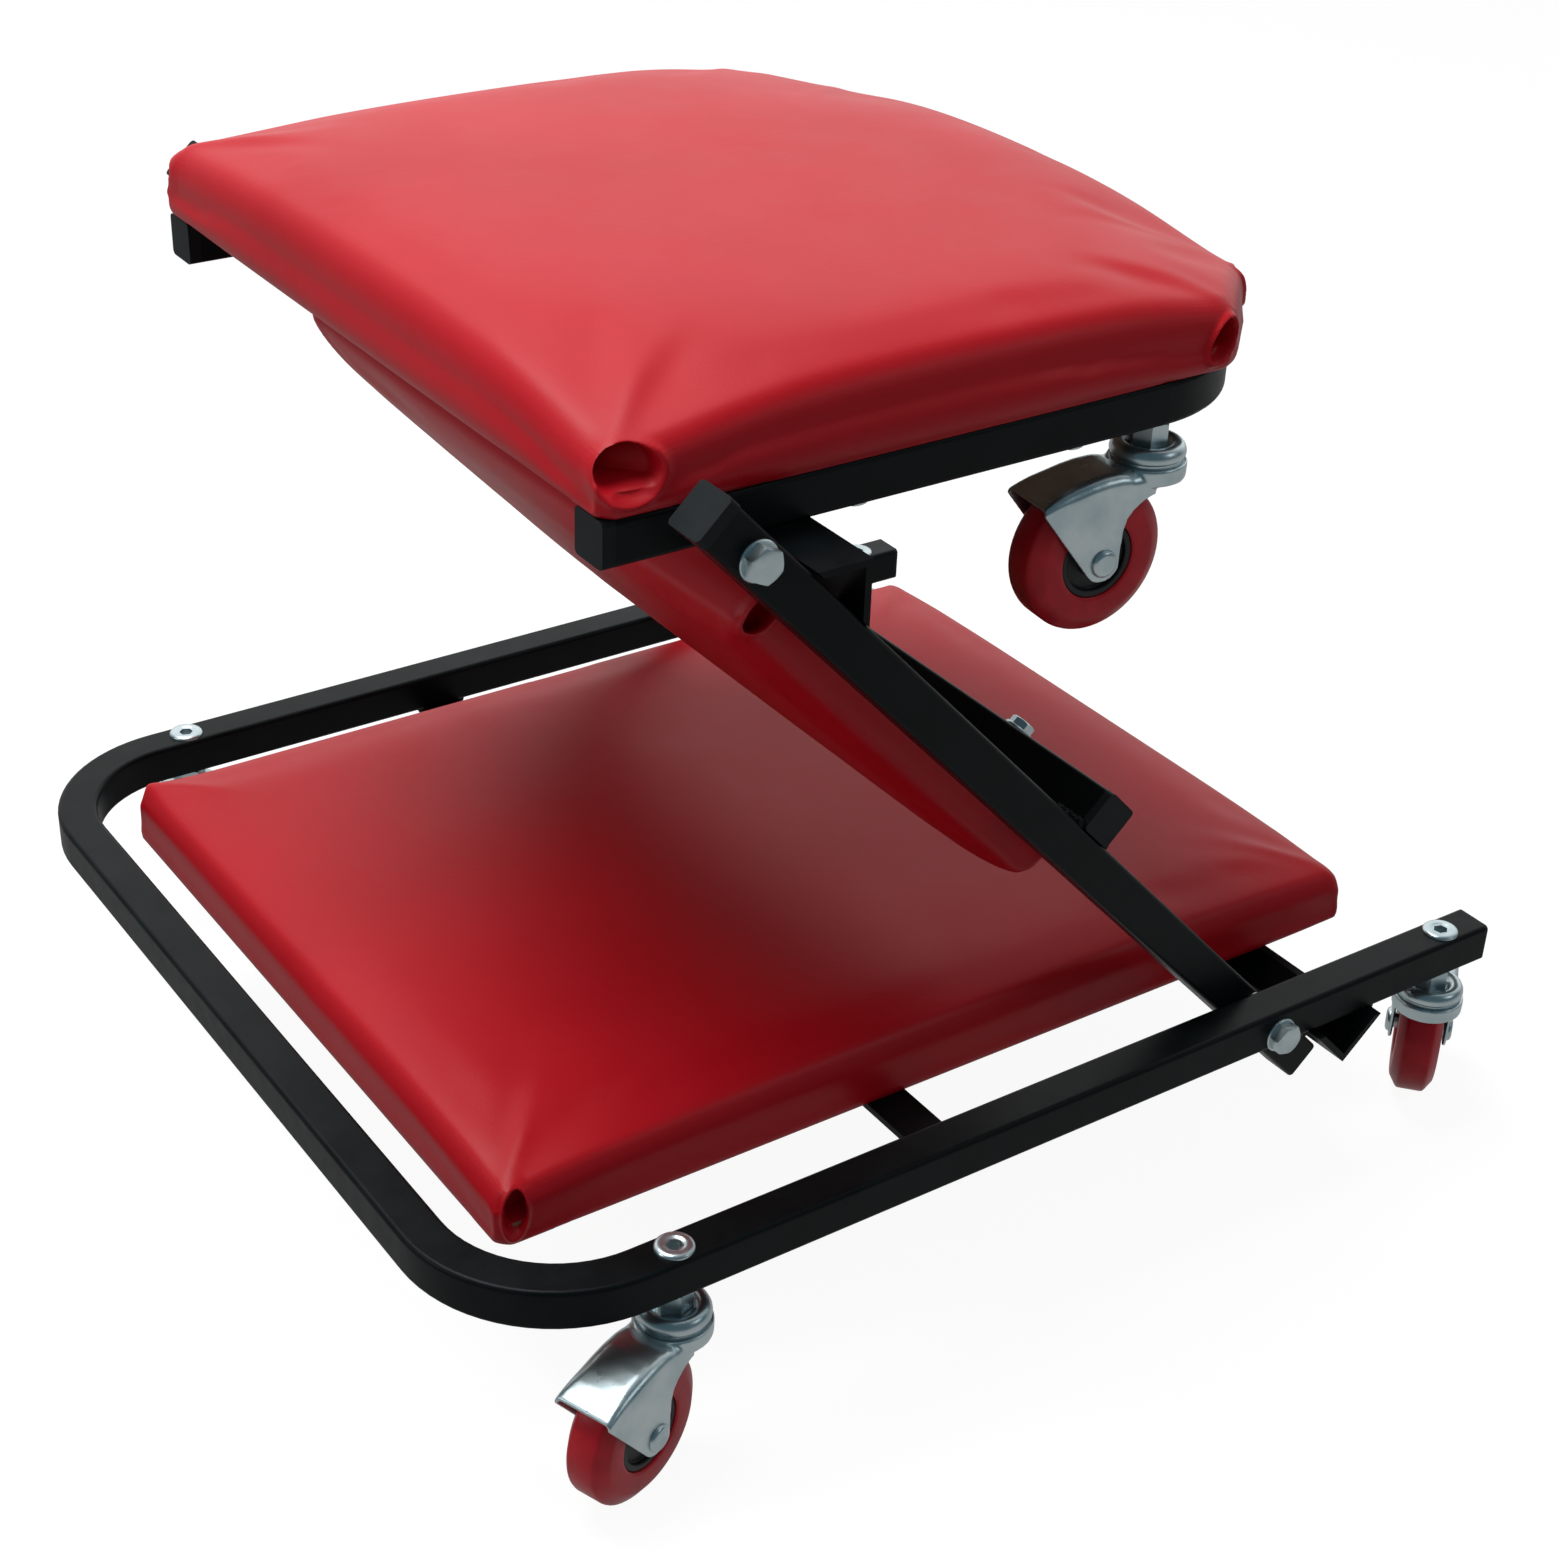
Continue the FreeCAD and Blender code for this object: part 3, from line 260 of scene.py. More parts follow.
# Weld beads where bars, stops and crossbars meet: a lumpy seam of overlapping
# drops in the corner between two pieces of steel, under the same black coat.
def only(thing):
    """Makes one object the selected and active one."""
    bpy.ops.object.select_all(action="DESELECT")
    thing.select_set(True)
    bpy.context.view_layer.objects.active = thing


def points_of(thing):
    """The places of a mesh's points, a row for each."""
    where = np.empty(len(thing.data.vertices) * 3)
    thing.data.vertices.foreach_get("co", where)
    return where.reshape(-1, 3)


def move_points(thing, where):
    """Sets the places of a mesh's points."""
    thing.data.vertices.foreach_set("co", where.ravel())
    thing.data.update()


def joined(name, things):
    """Makes several meshes one piece."""
    bpy.ops.object.select_all(action="DESELECT")
    for thing in things:
        thing.select_set(True)
    bpy.context.view_layer.objects.active = things[0]
    if len(things) > 1:
        bpy.ops.object.join()
    things[0].name = name
    return things[0]


def finished(thing, finish, slot, body, *replaced, angle=35):
    """Shades a piece, gives it its finish, ties it to its body and hides the CAD nodes it replaces."""
    only(thing)
    bpy.ops.object.shade_smooth_by_angle(angle=math.radians(angle))
    thing.data.materials.clear()
    thing.data.materials.append(finish.material)
    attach(thing, body)
    if replaced:
        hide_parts(*replaced)


WELD_PITCH = 0.0026
WELD_RADIUS = 0.0024


def weld_bead(start, end):
    """A bead along a line, its rings swelling and shrinking like laid drops."""
    run = Vector(end) - Vector(start)
    rings = max(int(run.length / WELD_PITCH) * 4, 12)
    bpy.ops.mesh.primitive_grid_add(x_subdivisions=rings, y_subdivisions=12, size=1)
    bead = bpy.context.object
    where = points_of(bead)
    along, turn = where[:, 0] + 0.5, where[:, 1] * 2 * math.pi
    wobble = np.sin(along * run.length / WELD_PITCH * 2 * math.pi) * 0.13 + np.sin(along * 17) * 0.08
    end_round = np.sqrt(np.clip(1 - np.abs(along * 2 - 1) ** 12, 0, 1))
    radius = WELD_RADIUS * (1 + wobble) * end_round
    where = np.stack([radius * np.cos(turn), radius * np.sin(turn), along * run.length], axis=1)
    move_points(bead, where)
    bead.data.transform(Matrix.Translation(start) @ run.to_track_quat("Z", "Y").to_matrix().to_4x4())
    only(bead)
    bpy.ops.object.mode_set(mode="EDIT")
    bpy.ops.mesh.select_all(action="SELECT")
    bpy.ops.mesh.remove_doubles(threshold=1e-6)
    bpy.ops.mesh.normals_make_consistent(inside=False)
    bpy.ops.object.mode_set(mode="OBJECT")
    return bead


# the side of the square tube, and the level of the base tubes' underside
TUBE = 0.019
BASE_LEVEL = 0.086
PIVOT = Vector((0.1215, 0, 0.0928))
LEAN = math.radians(46.6)
UP_BARS = Vector((-math.cos(LEAN), 0, math.sin(LEAN)))
BEHIND_BARS = Vector((math.sin(LEAN), 0, math.cos(LEAN)))
SIDES = (-1, 1)


def on_bars(along, across, behind):
    """A place by its way up the bars from the pivot, its y and its way behind their axis."""
    return PIVOT + UP_BARS * along + BEHIND_BARS * behind + Vector((0, across, 0))


# the seams under each arm, two at the crossbar and two at the lower stop: the
# place along the arm, the outer end and the level of each
SEAM_START = 0.2275
BASE_SEAMS = ((-0.0630, 0.2365, 0.0855), (-0.0406, 0.2365, 0.0855),
              (0.1405, 0.2440, 0.0853), (0.1813, 0.2440, 0.0853))
beads = []
for side in SIDES:
    for x, outer, level in BASE_SEAMS:
        beads.append(weld_bead((x, side * SEAM_START, level), (x, side * outer, level)))
finished(joined("base_welds", beads), black_coat, "black_steel", "base")
# the seams on the back of each bar, along both edges of the cross tube
CROSS_TUBE = 0.1665
SEAM_OFF = 0.0103
SEAM_BEHIND = 0.0102
BAR_SEAM_ENDS = (0.2070, 0.2240)
beads = []
for side in SIDES:
    for along in (CROSS_TUBE - SEAM_OFF, CROSS_TUBE + SEAM_OFF):
        beads.append(weld_bead(*(on_bars(along, side * across, SEAM_BEHIND)
                                 for across in BAR_SEAM_ENDS)))
finished(joined("bar_welds", beads), black_coat, "black_steel", "middle")

# End plugs of the tubes and the arm buffer: black moulded plastic and rubber,
# duller than the coat, pressed into the tube ends.
black_plug = Finish("black_plastic", (0.010, 0.011, 0.012), 0.55, specular=0.15)
black_plug.color(black_plug.noise(60),
                 (0.3, (0.006, 0.009, 0.010)), (0.7, (0.010, 0.015, 0.017)))
black_plug.bump(black_plug.noise(2500, 2), 0.0001, 0.4)
paint(["base_end_caps", "link_bar_caps", "cross_tube_caps", "seat_frame_caps", "arm_buffer"], black_plug)

# Washers, spacers, axle balls: steel with a bluish zinc plate, smooth, faintly
# cloudy, with fine scratches; turned and pressed in one plain shape each.
zinc = Finish("zinc_plate", (0.52, 0.60, 0.62), 0.28, 0.93)
zinc.color(zinc.noise(60, 5),
           (0.3, (0.42, 0.52, 0.55)), (0.55, (0.54, 0.63, 0.65)), (0.8, (0.64, 0.70, 0.69)))
zinc.rough(zinc.noise(160, 4), 0.22, 0.38)
zinc.bump(zinc.noise(700, 3, (1, 1, 0.15)), 0.00006, 0.4)
paint(["lower_pivot_washers", "upper_spacers", "base_caster_balls", "seat_caster_balls"], zinc)


# Bolts, lock nuts and board screws: zinc-plated steel, cold headed, with a round
# collar under a hexagon whose corners are turned down, and a plain shank.
def apply_modifier(thing, kind, **settings):
    """Adds one modifier to a piece and applies it."""
    only(thing)
    modifier = thing.modifiers.new(kind, kind)
    for name, value in settings.items():
        setattr(modifier, name, value)
    bpy.ops.object.modifier_apply(modifier=modifier.name)


def combine(thing, other, operation):
    """Adds, cuts or keeps what two solids share."""
    apply_modifier(thing, "BOOLEAN", operation=operation, object=other, solver="EXACT")
    bpy.data.objects.remove(other)
    return thing


def outline_ring(spots, filled):
    """A circle primitive whose points are moved to an outline."""
    bpy.ops.object.select_all(action="DESELECT")
    bpy.ops.mesh.primitive_circle_add(vertices=len(spots), fill_type="NGON" if filled else "NOTHING")
    thing = bpy.context.object
    move_points(thing, np.array(spots))
    bpy.ops.object.mode_set(mode="EDIT")
    bpy.ops.mesh.select_all(action="SELECT")
    return thing


def closed_up():
    """Ends the edit of a new solid: doubles merged, normals outward."""
    bpy.ops.mesh.select_all(action="SELECT")
    bpy.ops.mesh.remove_doubles(threshold=1e-6)
    bpy.ops.mesh.delete_loose()
    bpy.ops.mesh.select_all(action="SELECT")
    bpy.ops.mesh.normals_make_consistent(inside=False)
    bpy.ops.object.mode_set(mode="OBJECT")


def turned(*profile, steps=48):
    """Spins an outline of radius and height, in millimetres, round the Z axis."""
    thing = outline_ring([(radius / 1000, 0, level / 1000) for radius, level in profile], False)
    bpy.ops.mesh.spin(steps=steps, angle=2 * math.pi, center=(0, 0, 0), axis=(0, 0, 1))
    closed_up()
    return thing


def hexagon(flats, low, high, chamfered=True):
    """An upright hexagon, in millimetres, its corners turned down at the upper end."""
    corner = flats / math.sqrt(3)
    ring = [(corner * math.cos(turn) / 1000, corner * math.sin(turn) / 1000, low / 1000)
            for turn in np.radians(range(0, 360, 60))]
    thing = outline_ring(ring, True)
    bpy.ops.mesh.extrude_region_move(TRANSFORM_OT_translate={"value": (0, 0, (high - low) / 1000)})
    closed_up()
    if chamfered:
        face = flats * 0.47
        fall = (corner + 1 - face) * 0.577
        cone = turned((0, low - 1), (corner + 1, low - 1), (corner + 1, high - fall), (face, high),
                      (0, high))
        combine(thing, cone, "INTERSECT")
    return thing


def copies(master, places):
    """Copies of a master, each with a mesh of its own, at the given places."""
    made = []
    for place in places:
        twin = master.copy()
        twin.data = master.data.copy()
        twin.data.transform(place)
        scene.collection.objects.link(twin)
        made.append(twin)
    return made


def spread(name, master, places, finish, slot, body, *replaced):
    """One piece made of copies of a master, which is then removed."""
    made = copies(master, places)
    bpy.data.objects.remove(master)
    finished(joined(name, made), finish, slot, body, *replaced)


def bolt(flats, head, collar_radius, shank_radius, length):
    """A bolt that points down, its collar on z = 0."""
    neck = turned((0, -length), (shank_radius - 0.6, -length), (shank_radius, 0.6 - length),
                  (shank_radius, 0), (collar_radius, 0), (collar_radius, 0.7),
                  (collar_radius - 0.4, 1.2), (0, 1.2))
    return joined("bolt", [neck, hexagon(flats, 1.0, 1.2 + head)])


def facing(x, y, z, side):
    """The place of a piece whose Z axis points sideways, away from the middle."""
    return Matrix.Translation((x, side * y, z)) @ Matrix.Rotation(-side * math.pi / 2, 4, "X")


def nut():
    """A lock nut on z = 0, with a round plastic-lined collar on top."""
    ring = hexagon(13, 0, 6.2)
    combine(ring, turned((0, -1), (4.05, -1), (4.05, 9), (0, 9)), "DIFFERENCE")
    dome = turned((4.05, 5.8), (5.9, 5.8), (5.9, 7.0), (5.3, 7.8), (4.5, 8.0), (4.05, 7.8))
    return joined("nut", [ring, dome])


UPPER = Vector((-0.159107, 0, 0.389533))
# how far out the heads and the nuts of the pivot bolts sit
LOWER_HEAD, LOWER_NUT = 0.245, 0.2058
UPPER_HEAD, UPPER_NUT = 0.225, 0.1678
spread("lower_bolts", bolt(13, 5.3, 8.3, 4, 49.2),
       [facing(PIVOT.x, LOWER_HEAD, PIVOT.z, side) @ Matrix.Rotation(0.2 * side, 4, "Z") for side in SIDES],
       zinc, "zinc_plate", "base", "lower_pivot_bolts")
spread("upper_bolts", bolt(13, 5.3, 8.3, 4, 67.2),
       [facing(UPPER.x, UPPER_HEAD, UPPER.z, side) @ Matrix.Rotation(0.45 * side, 4, "Z") for side in SIDES],
       zinc, "zinc_plate", "top", "upper_pivot_bolts")
flipped = Matrix.Rotation(math.pi, 4, "X")
spread("lower_nuts", nut(), [facing(PIVOT.x, LOWER_NUT, PIVOT.z, side) @ flipped for side in SIDES],
       zinc, "zinc_plate", "base", "lower_pivot_nuts")
spread("upper_nuts", nut(), [facing(UPPER.x, UPPER_NUT, UPPER.z, side) @ flipped for side in SIDES],
       zinc, "zinc_plate", "top", "upper_pivot_nuts")
spread("lower_screws", bolt(10, 3.6, 6.8, 3, 9),
       [Matrix.Translation((-0.0518, side * 0.130, 0.083)) @ flipped for side in SIDES],
       zinc, "zinc_plate", "base", "lower_pad_screws")
spread("middle_screws", bolt(10, 3.6, 6.8, 3, 25),
       [Matrix.Translation(on_bars(CROSS_TUBE, side * 0.155, 1.5 * TUBE)) @ Matrix.Rotation(LEAN, 4, "Y")
        for side in SIDES],
       zinc, "zinc_plate", "middle", "middle_pad_screws")
spread("seat_screws_low", bolt(10, 1.4, 5.4, 3, 25),
       [Matrix.Translation((x, side * 0.1775, 0.37853)) @ flipped
        for x in (-0.08411, 0.02089) for side in SIDES],
       zinc, "zinc_plate", "top", "seat_screws")

# Sleeve nuts of the base casters: a low dome on the tube round a hexagon socket,
# and a barrel inside the tube. Those of the seat end level with its tube.
DECK = BASE_LEVEL * 1000
sleeve = turned((0, 1.1), (3.7, 1.1), (4.5, 1.6), (5.4, 1.8), (6.6, 1.7), (7.7, 1.3), (8.3, 0.7),
                (8.4, 0.3), (8.4, 0), (5.4, 0), (5.4, -18.8), (4.2, -18.8), (4.2, -6.3), (0, -6.3))
combine(sleeve, hexagon(6, -5, 3, chamfered=False), "DIFFERENCE")
BASE_CASTERS = ("closed_right", "closed_left", "open_right", "open_left")
SEAT_CASTERS = ("seat_right", "seat_left")
CASTERS = (("base", "base", BASE_CASTERS), ("top", "seat", SEAT_CASTERS))
WHEEL_RADIUS = 0.0328
# a caster's own frame has its swivel axis on Z, its wheel towards +X and z = 0 under the wheel
joint_place = {joint["name"]: Vector(joint["pos_m"]) for joint in frame["joints"]}
caster_place = {}
for name in BASE_CASTERS + SEAT_CASTERS:
    swivel, wheel = joint_place[f"swivel_{name}"], joint_place[f"roll_{name}"]
    turn = math.atan2(wheel.y - swivel.y, wheel.x - swivel.x)
    caster_place[name] = (Matrix.Translation((swivel.x, swivel.y, wheel.z - WHEEL_RADIUS))
                          @ Matrix.Rotation(turn, 4, "Z"))
spread("sleeve_nuts", sleeve,
       [caster_place[name] @ Matrix.Translation((0, 0, BASE_LEVEL + TUBE)) for name in BASE_CASTERS],
       zinc, "zinc_plate", "base", "base_caster_nuts")
paint(["seat_caster_nuts"], zinc)

# Caster stems: a turned pin with its head under the fork, a hexagon shoulder
# under the tube and a stud that runs up into the sleeve nut.
for body, kind, names in CASTERS:
    pin = turned((0, 64.8), (7.4, 64.8), (8, 65.2), (8, 66.4), (5, 66.4), (5, 74.6), (4, 74.6),
                 (4, 98.5), (0, 98.5))
    stem = joined("stem", [pin, hexagon(14, 74.6, DECK - 0.02)])
    spread(f"{body}_stems", stem, [caster_place[name] for name in names],
           zinc, "zinc_plate", body, f"{kind}_caster_stems")

# Bearing races: a pressed steel cap over the ball ring, rolled over its rim and
# dished in the middle where the hexagon shoulder sits.
for body, kind, names in CASTERS:
    race = turned((14.0, 69.3), (14.6, 69.2), (14.8, 69.6), (14.8, 71.2), (15.2, 71.6), (15.7, 72.4),
                  (15.8, 73.4), (15.6, 74.6), (15.0, 75.9), (14.1, 76.9), (12.9, 77.5), (11.6, 77.6),
                  (10.5, 77.3), (9.6, 76.5), (8.8, 75.4), (8.0, 74.8), (7.2, 74.6), (5.2, 74.6),
                  (5.2, 73.3), (14.0, 73.3), steps=64)
    spread(f"{kind}_races", race, [caster_place[name] for name in names],
           zinc, "zinc_plate", body, f"{kind}_caster_races")


# Forks: one blank of sheet steel drawn into a round neck, a hood with rolled
# edges and two tapered legs, plated after pressing.
# in millimetres, with places along a fork counted from its swivel axis
TRAIL = 27
TIP_RADIUS = 8.7
HALF_FORK = 14
REAR, LIP = -8.2, 57.8
LEG_START, LEG_END = 18.4, 33.8
# in metres, the sheet's thickness and the size of the remesh's voxels
FORK_SHEET = 0.0018
FORK_VOXEL = 0.0006
# height of the sheet's top along the fork, from the neck to the lip
HOOD = ((REAR, 9, 14.8, 17, 21, 28, 35, 42, 48, 53, LIP),
        (69, 69, 69, 69.8, 70.3, 70.1, 69.1, 67.6, 65.9, 64, 61.7))


def low_edge(x):
    """Height of the lower edge of neck skirt and leg at a place along the fork, in millimetres."""
    rear = np.interp(x, (REAR, -2, 4, 10, 14, 17, 18.3), (62.4, 60.9, 59.4, 57, 54, 50.4, 45))
    tip = 1000 * WHEEL_RADIUS - np.sqrt(np.clip(TIP_RADIUS ** 2 - (x - TRAIL) ** 2, 0, None))
    front = np.interp(x, (LEG_END, 59.5), (27.4, 61.0))
    return np.where(x < LEG_START, rear, np.where(x < LEG_END, tip, front))


bpy.ops.object.select_all(action="DESELECT")
bpy.ops.mesh.primitive_grid_add(x_subdivisions=70, y_subdivisions=60, size=1)
fork = bpy.context.object
stations = np.concatenate([np.linspace(REAR, 18.2, 24), np.linspace(18.5, LIP, 46)])
along, around = points_of(fork)[:, 0] + 0.5, points_of(fork)[:, 1] + 0.5
x = np.interp(along, np.linspace(0, 1, len(stations)), stations)
top = np.interp(x, *HOOD)
roll_radius = np.interp(x, (42, LIP), (5.2, 2.6))
low = np.minimum(low_edge(x), top - roll_radius - 0.3)
# each side goes up the leg, round the rolled edge and over to the middle
FLAT_SHARE, ROLL_SHARE = 0.2, 0.4
side = np.abs(around * 2 - 1)
turn = np.interp(side, (FLAT_SHARE, ROLL_SHARE), (math.pi / 2, 0))
flat = np.interp(side, (0, FLAT_SHARE), (0, 1)) * (HALF_FORK - roll_radius)
y = np.where(side < FLAT_SHARE, flat, HALF_FORK - roll_radius + roll_radius * np.cos(turn))
z = top - roll_radius + roll_radius * np.sin(turn)
z = np.where(side > ROLL_SHARE, low + (z - low) * (1 - side) / (1 - ROLL_SHARE), z)
move_points(fork, np.stack([x, y * np.sign(around - 0.5), z], axis=1) / 1000)
only(fork)
bpy.ops.object.mode_set(mode="EDIT")
closed_up()
apply_modifier(fork, "SOLIDIFY", thickness=FORK_SHEET, offset=-1)
neck = turned((5.2, 66.8), (13.8, 66.8), (14.7, 65.9), (14.7, 62.5), (16.1, 62.5), (16.5, 63.0),
              (16.6, 69.0), (16.3, 69.8), (15.8, 70.0), (15.3, 69.7), (15.1, 69.0), (5.2, 69.0))
fork = joined("fork", [fork, neck])
apply_modifier(fork, "REMESH", mode="VOXEL", voxel_size=FORK_VOXEL)
combine(fork, turned((0, 50), (14.6, 50), (14.6, 65.9), (13.7, 66.8), (0, 66.8)), "DIFFERENCE")
combine(fork, turned((0, 60), (5.3, 60), (5.3, 69.0), (15.1, 69.0), (15.1, 75), (0, 75)), "DIFFERENCE")
apply_modifier(fork, "SMOOTH", factor=0.5, iterations=10)
for name, place in caster_place.items():
    finished(joined(f"{name}_pressed_fork", copies(fork, [place])), zinc, "zinc_plate",
             f"swivel_{name}", f"{name}_fork", angle=80)
bpy.data.objects.remove(fork)

# Axles: steel pins through both legs and the hub, turned, with the ends
# riveted over to a low round head on each leg.
on_axle = Matrix.Translation((TRAIL / 1000, 0, WHEEL_RADIUS)) @ Matrix.Rotation(math.pi / 2, 4, "X")
half_axle = [(0, -15.7), (1.8, -15.8), (2.6, -16.0), (4.2, -16.0), (5.4, -15.5), (6, -14.6),
             (6, -14.05), (4, -14.05)]
axle = turned(*half_axle, *[(radius, -across) for radius, across in reversed(half_axle)])
for name, place in caster_place.items():
    finished(joined(f"{name}_rivet", copies(axle, [place @ on_axle])), zinc, "zinc_plate",
             f"swivel_{name}", f"{name}_axle")
bpy.data.objects.remove(axle)

# Wheels: a red polyurethane tread cast round a black moulded hub.
# The tread has a flat land and cone shoulders and is slightly cloudy.
red_tread = Finish("red_polyurethane", (0.50, 0.008, 0.018), 0.36, specular=0.3)
red_tread.color(red_tread.noise(90, 4), (0.3, (0.46, 0.006, 0.015)), (0.7, (0.60, 0.010, 0.023)))
red_tread.rough(red_tread.noise(300), 0.28, 0.42)
red_tread.bump(red_tread.noise(900, 3), 0.00008, 0.4)
half_tread = [(17.05, -9.9), (17.7, -10.4), (18.6, -10.5), (25.6, -10.5), (27.0, -10.2), (31.6, -7.2),
              (32.5, -6.4), (32.8, -5.4)]
tread = turned(*half_tread, *[(radius, -across) for radius, across in reversed(half_tread)], steps=72)
black_hub = Finish("black_hub_plastic", (0.010, 0.011, 0.012), 0.45, specular=0.35)
black_hub.rough(black_hub.noise(200), 0.38, 0.55)
black_hub.bump(black_hub.noise(1800, 2), 0.0001, 0.4)
half_hub = [(4.25, -9.5), (7.3, -9.5), (7.9, -9.1), (8.2, -7.1), (13.6, -7.0), (14.0, -7.4), (14.2, -9.1),
            (14.7, -9.5), (16.5, -9.5), (17.0, -9.0)]
hub = turned(*half_hub, *[(radius, -across) for radius, across in reversed(half_hub)], steps=60)
for name, place in caster_place.items():
    finished(joined(f"{name}_tread", copies(tread, [place @ on_axle])), red_tread, "red_tread",
             f"wheel_{name}", f"{name}_tyre")
    finished(joined(f"{name}_centre", copies(hub, [place @ on_axle])), black_hub, "black_hub",
             f"wheel_{name}", f"{name}_hub")
bpy.data.objects.remove(tread)
bpy.data.objects.remove(hub)

# Boards of the three pads: raw plywood, let into the underside of each cover and
# held by screws from the frame.
plywood = Finish("raw_plywood", (0.55, 0.38, 0.22), 0.72)
plywood.color(plywood.noise(14, 6, (1, 14, 3)),
              (0.25, (0.20, 0.12, 0.06)), (0.5, (0.32, 0.21, 0.12)), (0.75, (0.42, 0.30, 0.18)))
plywood.bump(plywood.noise(60, 4, (1, 18, 4)), 0.0003, 0.5)
paint(["lower_pad_board", "middle_pad_board", "seat_board"], plywood)

# The three pads: a foam slab on its board under a tight red vinyl cover, whose
# ends are wrapped round the corners and tucked into rolled folds.
red_vinyl = Finish("red_vinyl", (0.50, 0.004, 0.012), 0.43, specular=0.24)
red_vinyl.color(red_vinyl.noise(9, 4), (0.3, (0.47, 0.003, 0.010)), (0.7, (0.53, 0.005, 0.014)))
red_vinyl.rough(red_vinyl.noise(35, 3), 0.38, 0.47)
red_vinyl.bump(red_vinyl.cells(850), 0.00010, 0.35)
red_vinyl.bump(red_vinyl.noise(28, 3), 0.0006, 0.25)

VOXEL = 0.005
BOARD_INSET = 0.005
BOARD_THICK = 0.009
BOARD_GAP = 0.0002
# the lower edge of a cover rounds in under the pad over this height and depth
ROUND_HEIGHT = 0.010
ROUND_DEPTH = 0.0038
# a pad is made this much too deep and cut off level with its board
SPARE = 0.006
# how far the cover may move from its shape while it swells
SWELL = 0.0025
# how far the upright corners of a cover and of the board's room in it are rounded
COVER_CORNER = 0.0035
ROOM_CORNER = 0.007


def block(size, middle):
    """A box from the cube primitive, with its size and place in its mesh."""
    bpy.ops.object.select_all(action="DESELECT")
    bpy.ops.mesh.primitive_cube_add(size=1, location=middle)
    thing = bpy.context.object
    thing.scale = size
    bpy.ops.object.transform_apply(location=True, scale=True)
    return thing


def pick_edges(thing, test):
    """In edit mode, selects just the edges that pass the test."""
    bpy.ops.mesh.select_mode(type="EDGE")
    bpy.ops.mesh.select_all(action="DESELECT")
    mesh = bmesh.from_edit_mesh(thing.data)
    for edge in mesh.edges:
        edge.select_set(test(*(vertex.co for vertex in edge.verts)))
    bmesh.update_edit_mesh(thing.data)


def upright(first, last):
    """Whether an edge stands upright."""
    return abs(first.x - last.x) + abs(first.y - last.y) < 1e-6


def stuffed(thing, where):
    """Lets the cover swell and pucker a little over its foam, its board side held."""
    board = thing.vertex_groups.new(name="board")
    board.add([int(n) for n in np.flatnonzero(where[:, 2] < 0.004)], 1.0, "REPLACE")
    only(thing)
    stuffing = thing.modifiers.new("stuffing", "CLOTH")
    cloth = stuffing.settings
    cloth.vertex_group_mass = board.name
    cloth.use_pressure = True
    cloth.uniform_pressure_force = 4
    cloth.effector_weights.gravity = 0
    for number in range(1, 21):
        scene.frame_set(number)
    bpy.ops.object.modifier_apply(modifier=stuffing.name)
    scene.frame_set(1)
    moved = points_of(thing) - where
    far = np.linalg.norm(moved, axis=1, keepdims=True)
    move_points(thing, where + moved * np.minimum(1, SWELL / np.maximum(far, 1e-9)))
    thing.vertex_groups.clear()


def tuck(where, middle, outward, half_wide, half_high, depth, lip, slant=0.0, flap=0.0):
    """Presses the open end of a rolled fold into a corner, with a thin raised lip.
    A flap fills one side of it: towards the pad's front end if above 0, else its tail."""
    outward = Vector(outward).normalized()
    along = np.array(outward.cross(Vector((0, 0, 1)))) * -math.copysign(1, outward.y)
    outward = np.array(outward)
    reach = where - np.array(middle)
    across = reach @ along - slant * reach[:, 2]
    ring = np.hypot(across / half_wide, reach[:, 2] / half_high)
    near = np.clip((reach @ outward + 0.014) / 0.006, 0, 1)
    share = np.clip((ring - 0.72) / 0.28, 0, 1)
    inside = 1 - share ** 2 * (3 - 2 * share)
    inside *= 1 - abs(flap) * np.clip(0.5 - math.copysign(0.6, flap) * across / half_wide, 0, 1)
    # close to the board the fold stays shallow, so that the cover still hides its edge
    allowed = 0.0036 + 0.024 * np.clip((where[:, 2] - 0.0098) / 0.003, 0, 1)
    rim = np.exp(-((ring - 1.12) / 0.14) ** 2)
    where += np.outer(near * (lip * rim - np.minimum(depth, allowed) * inside), outward)


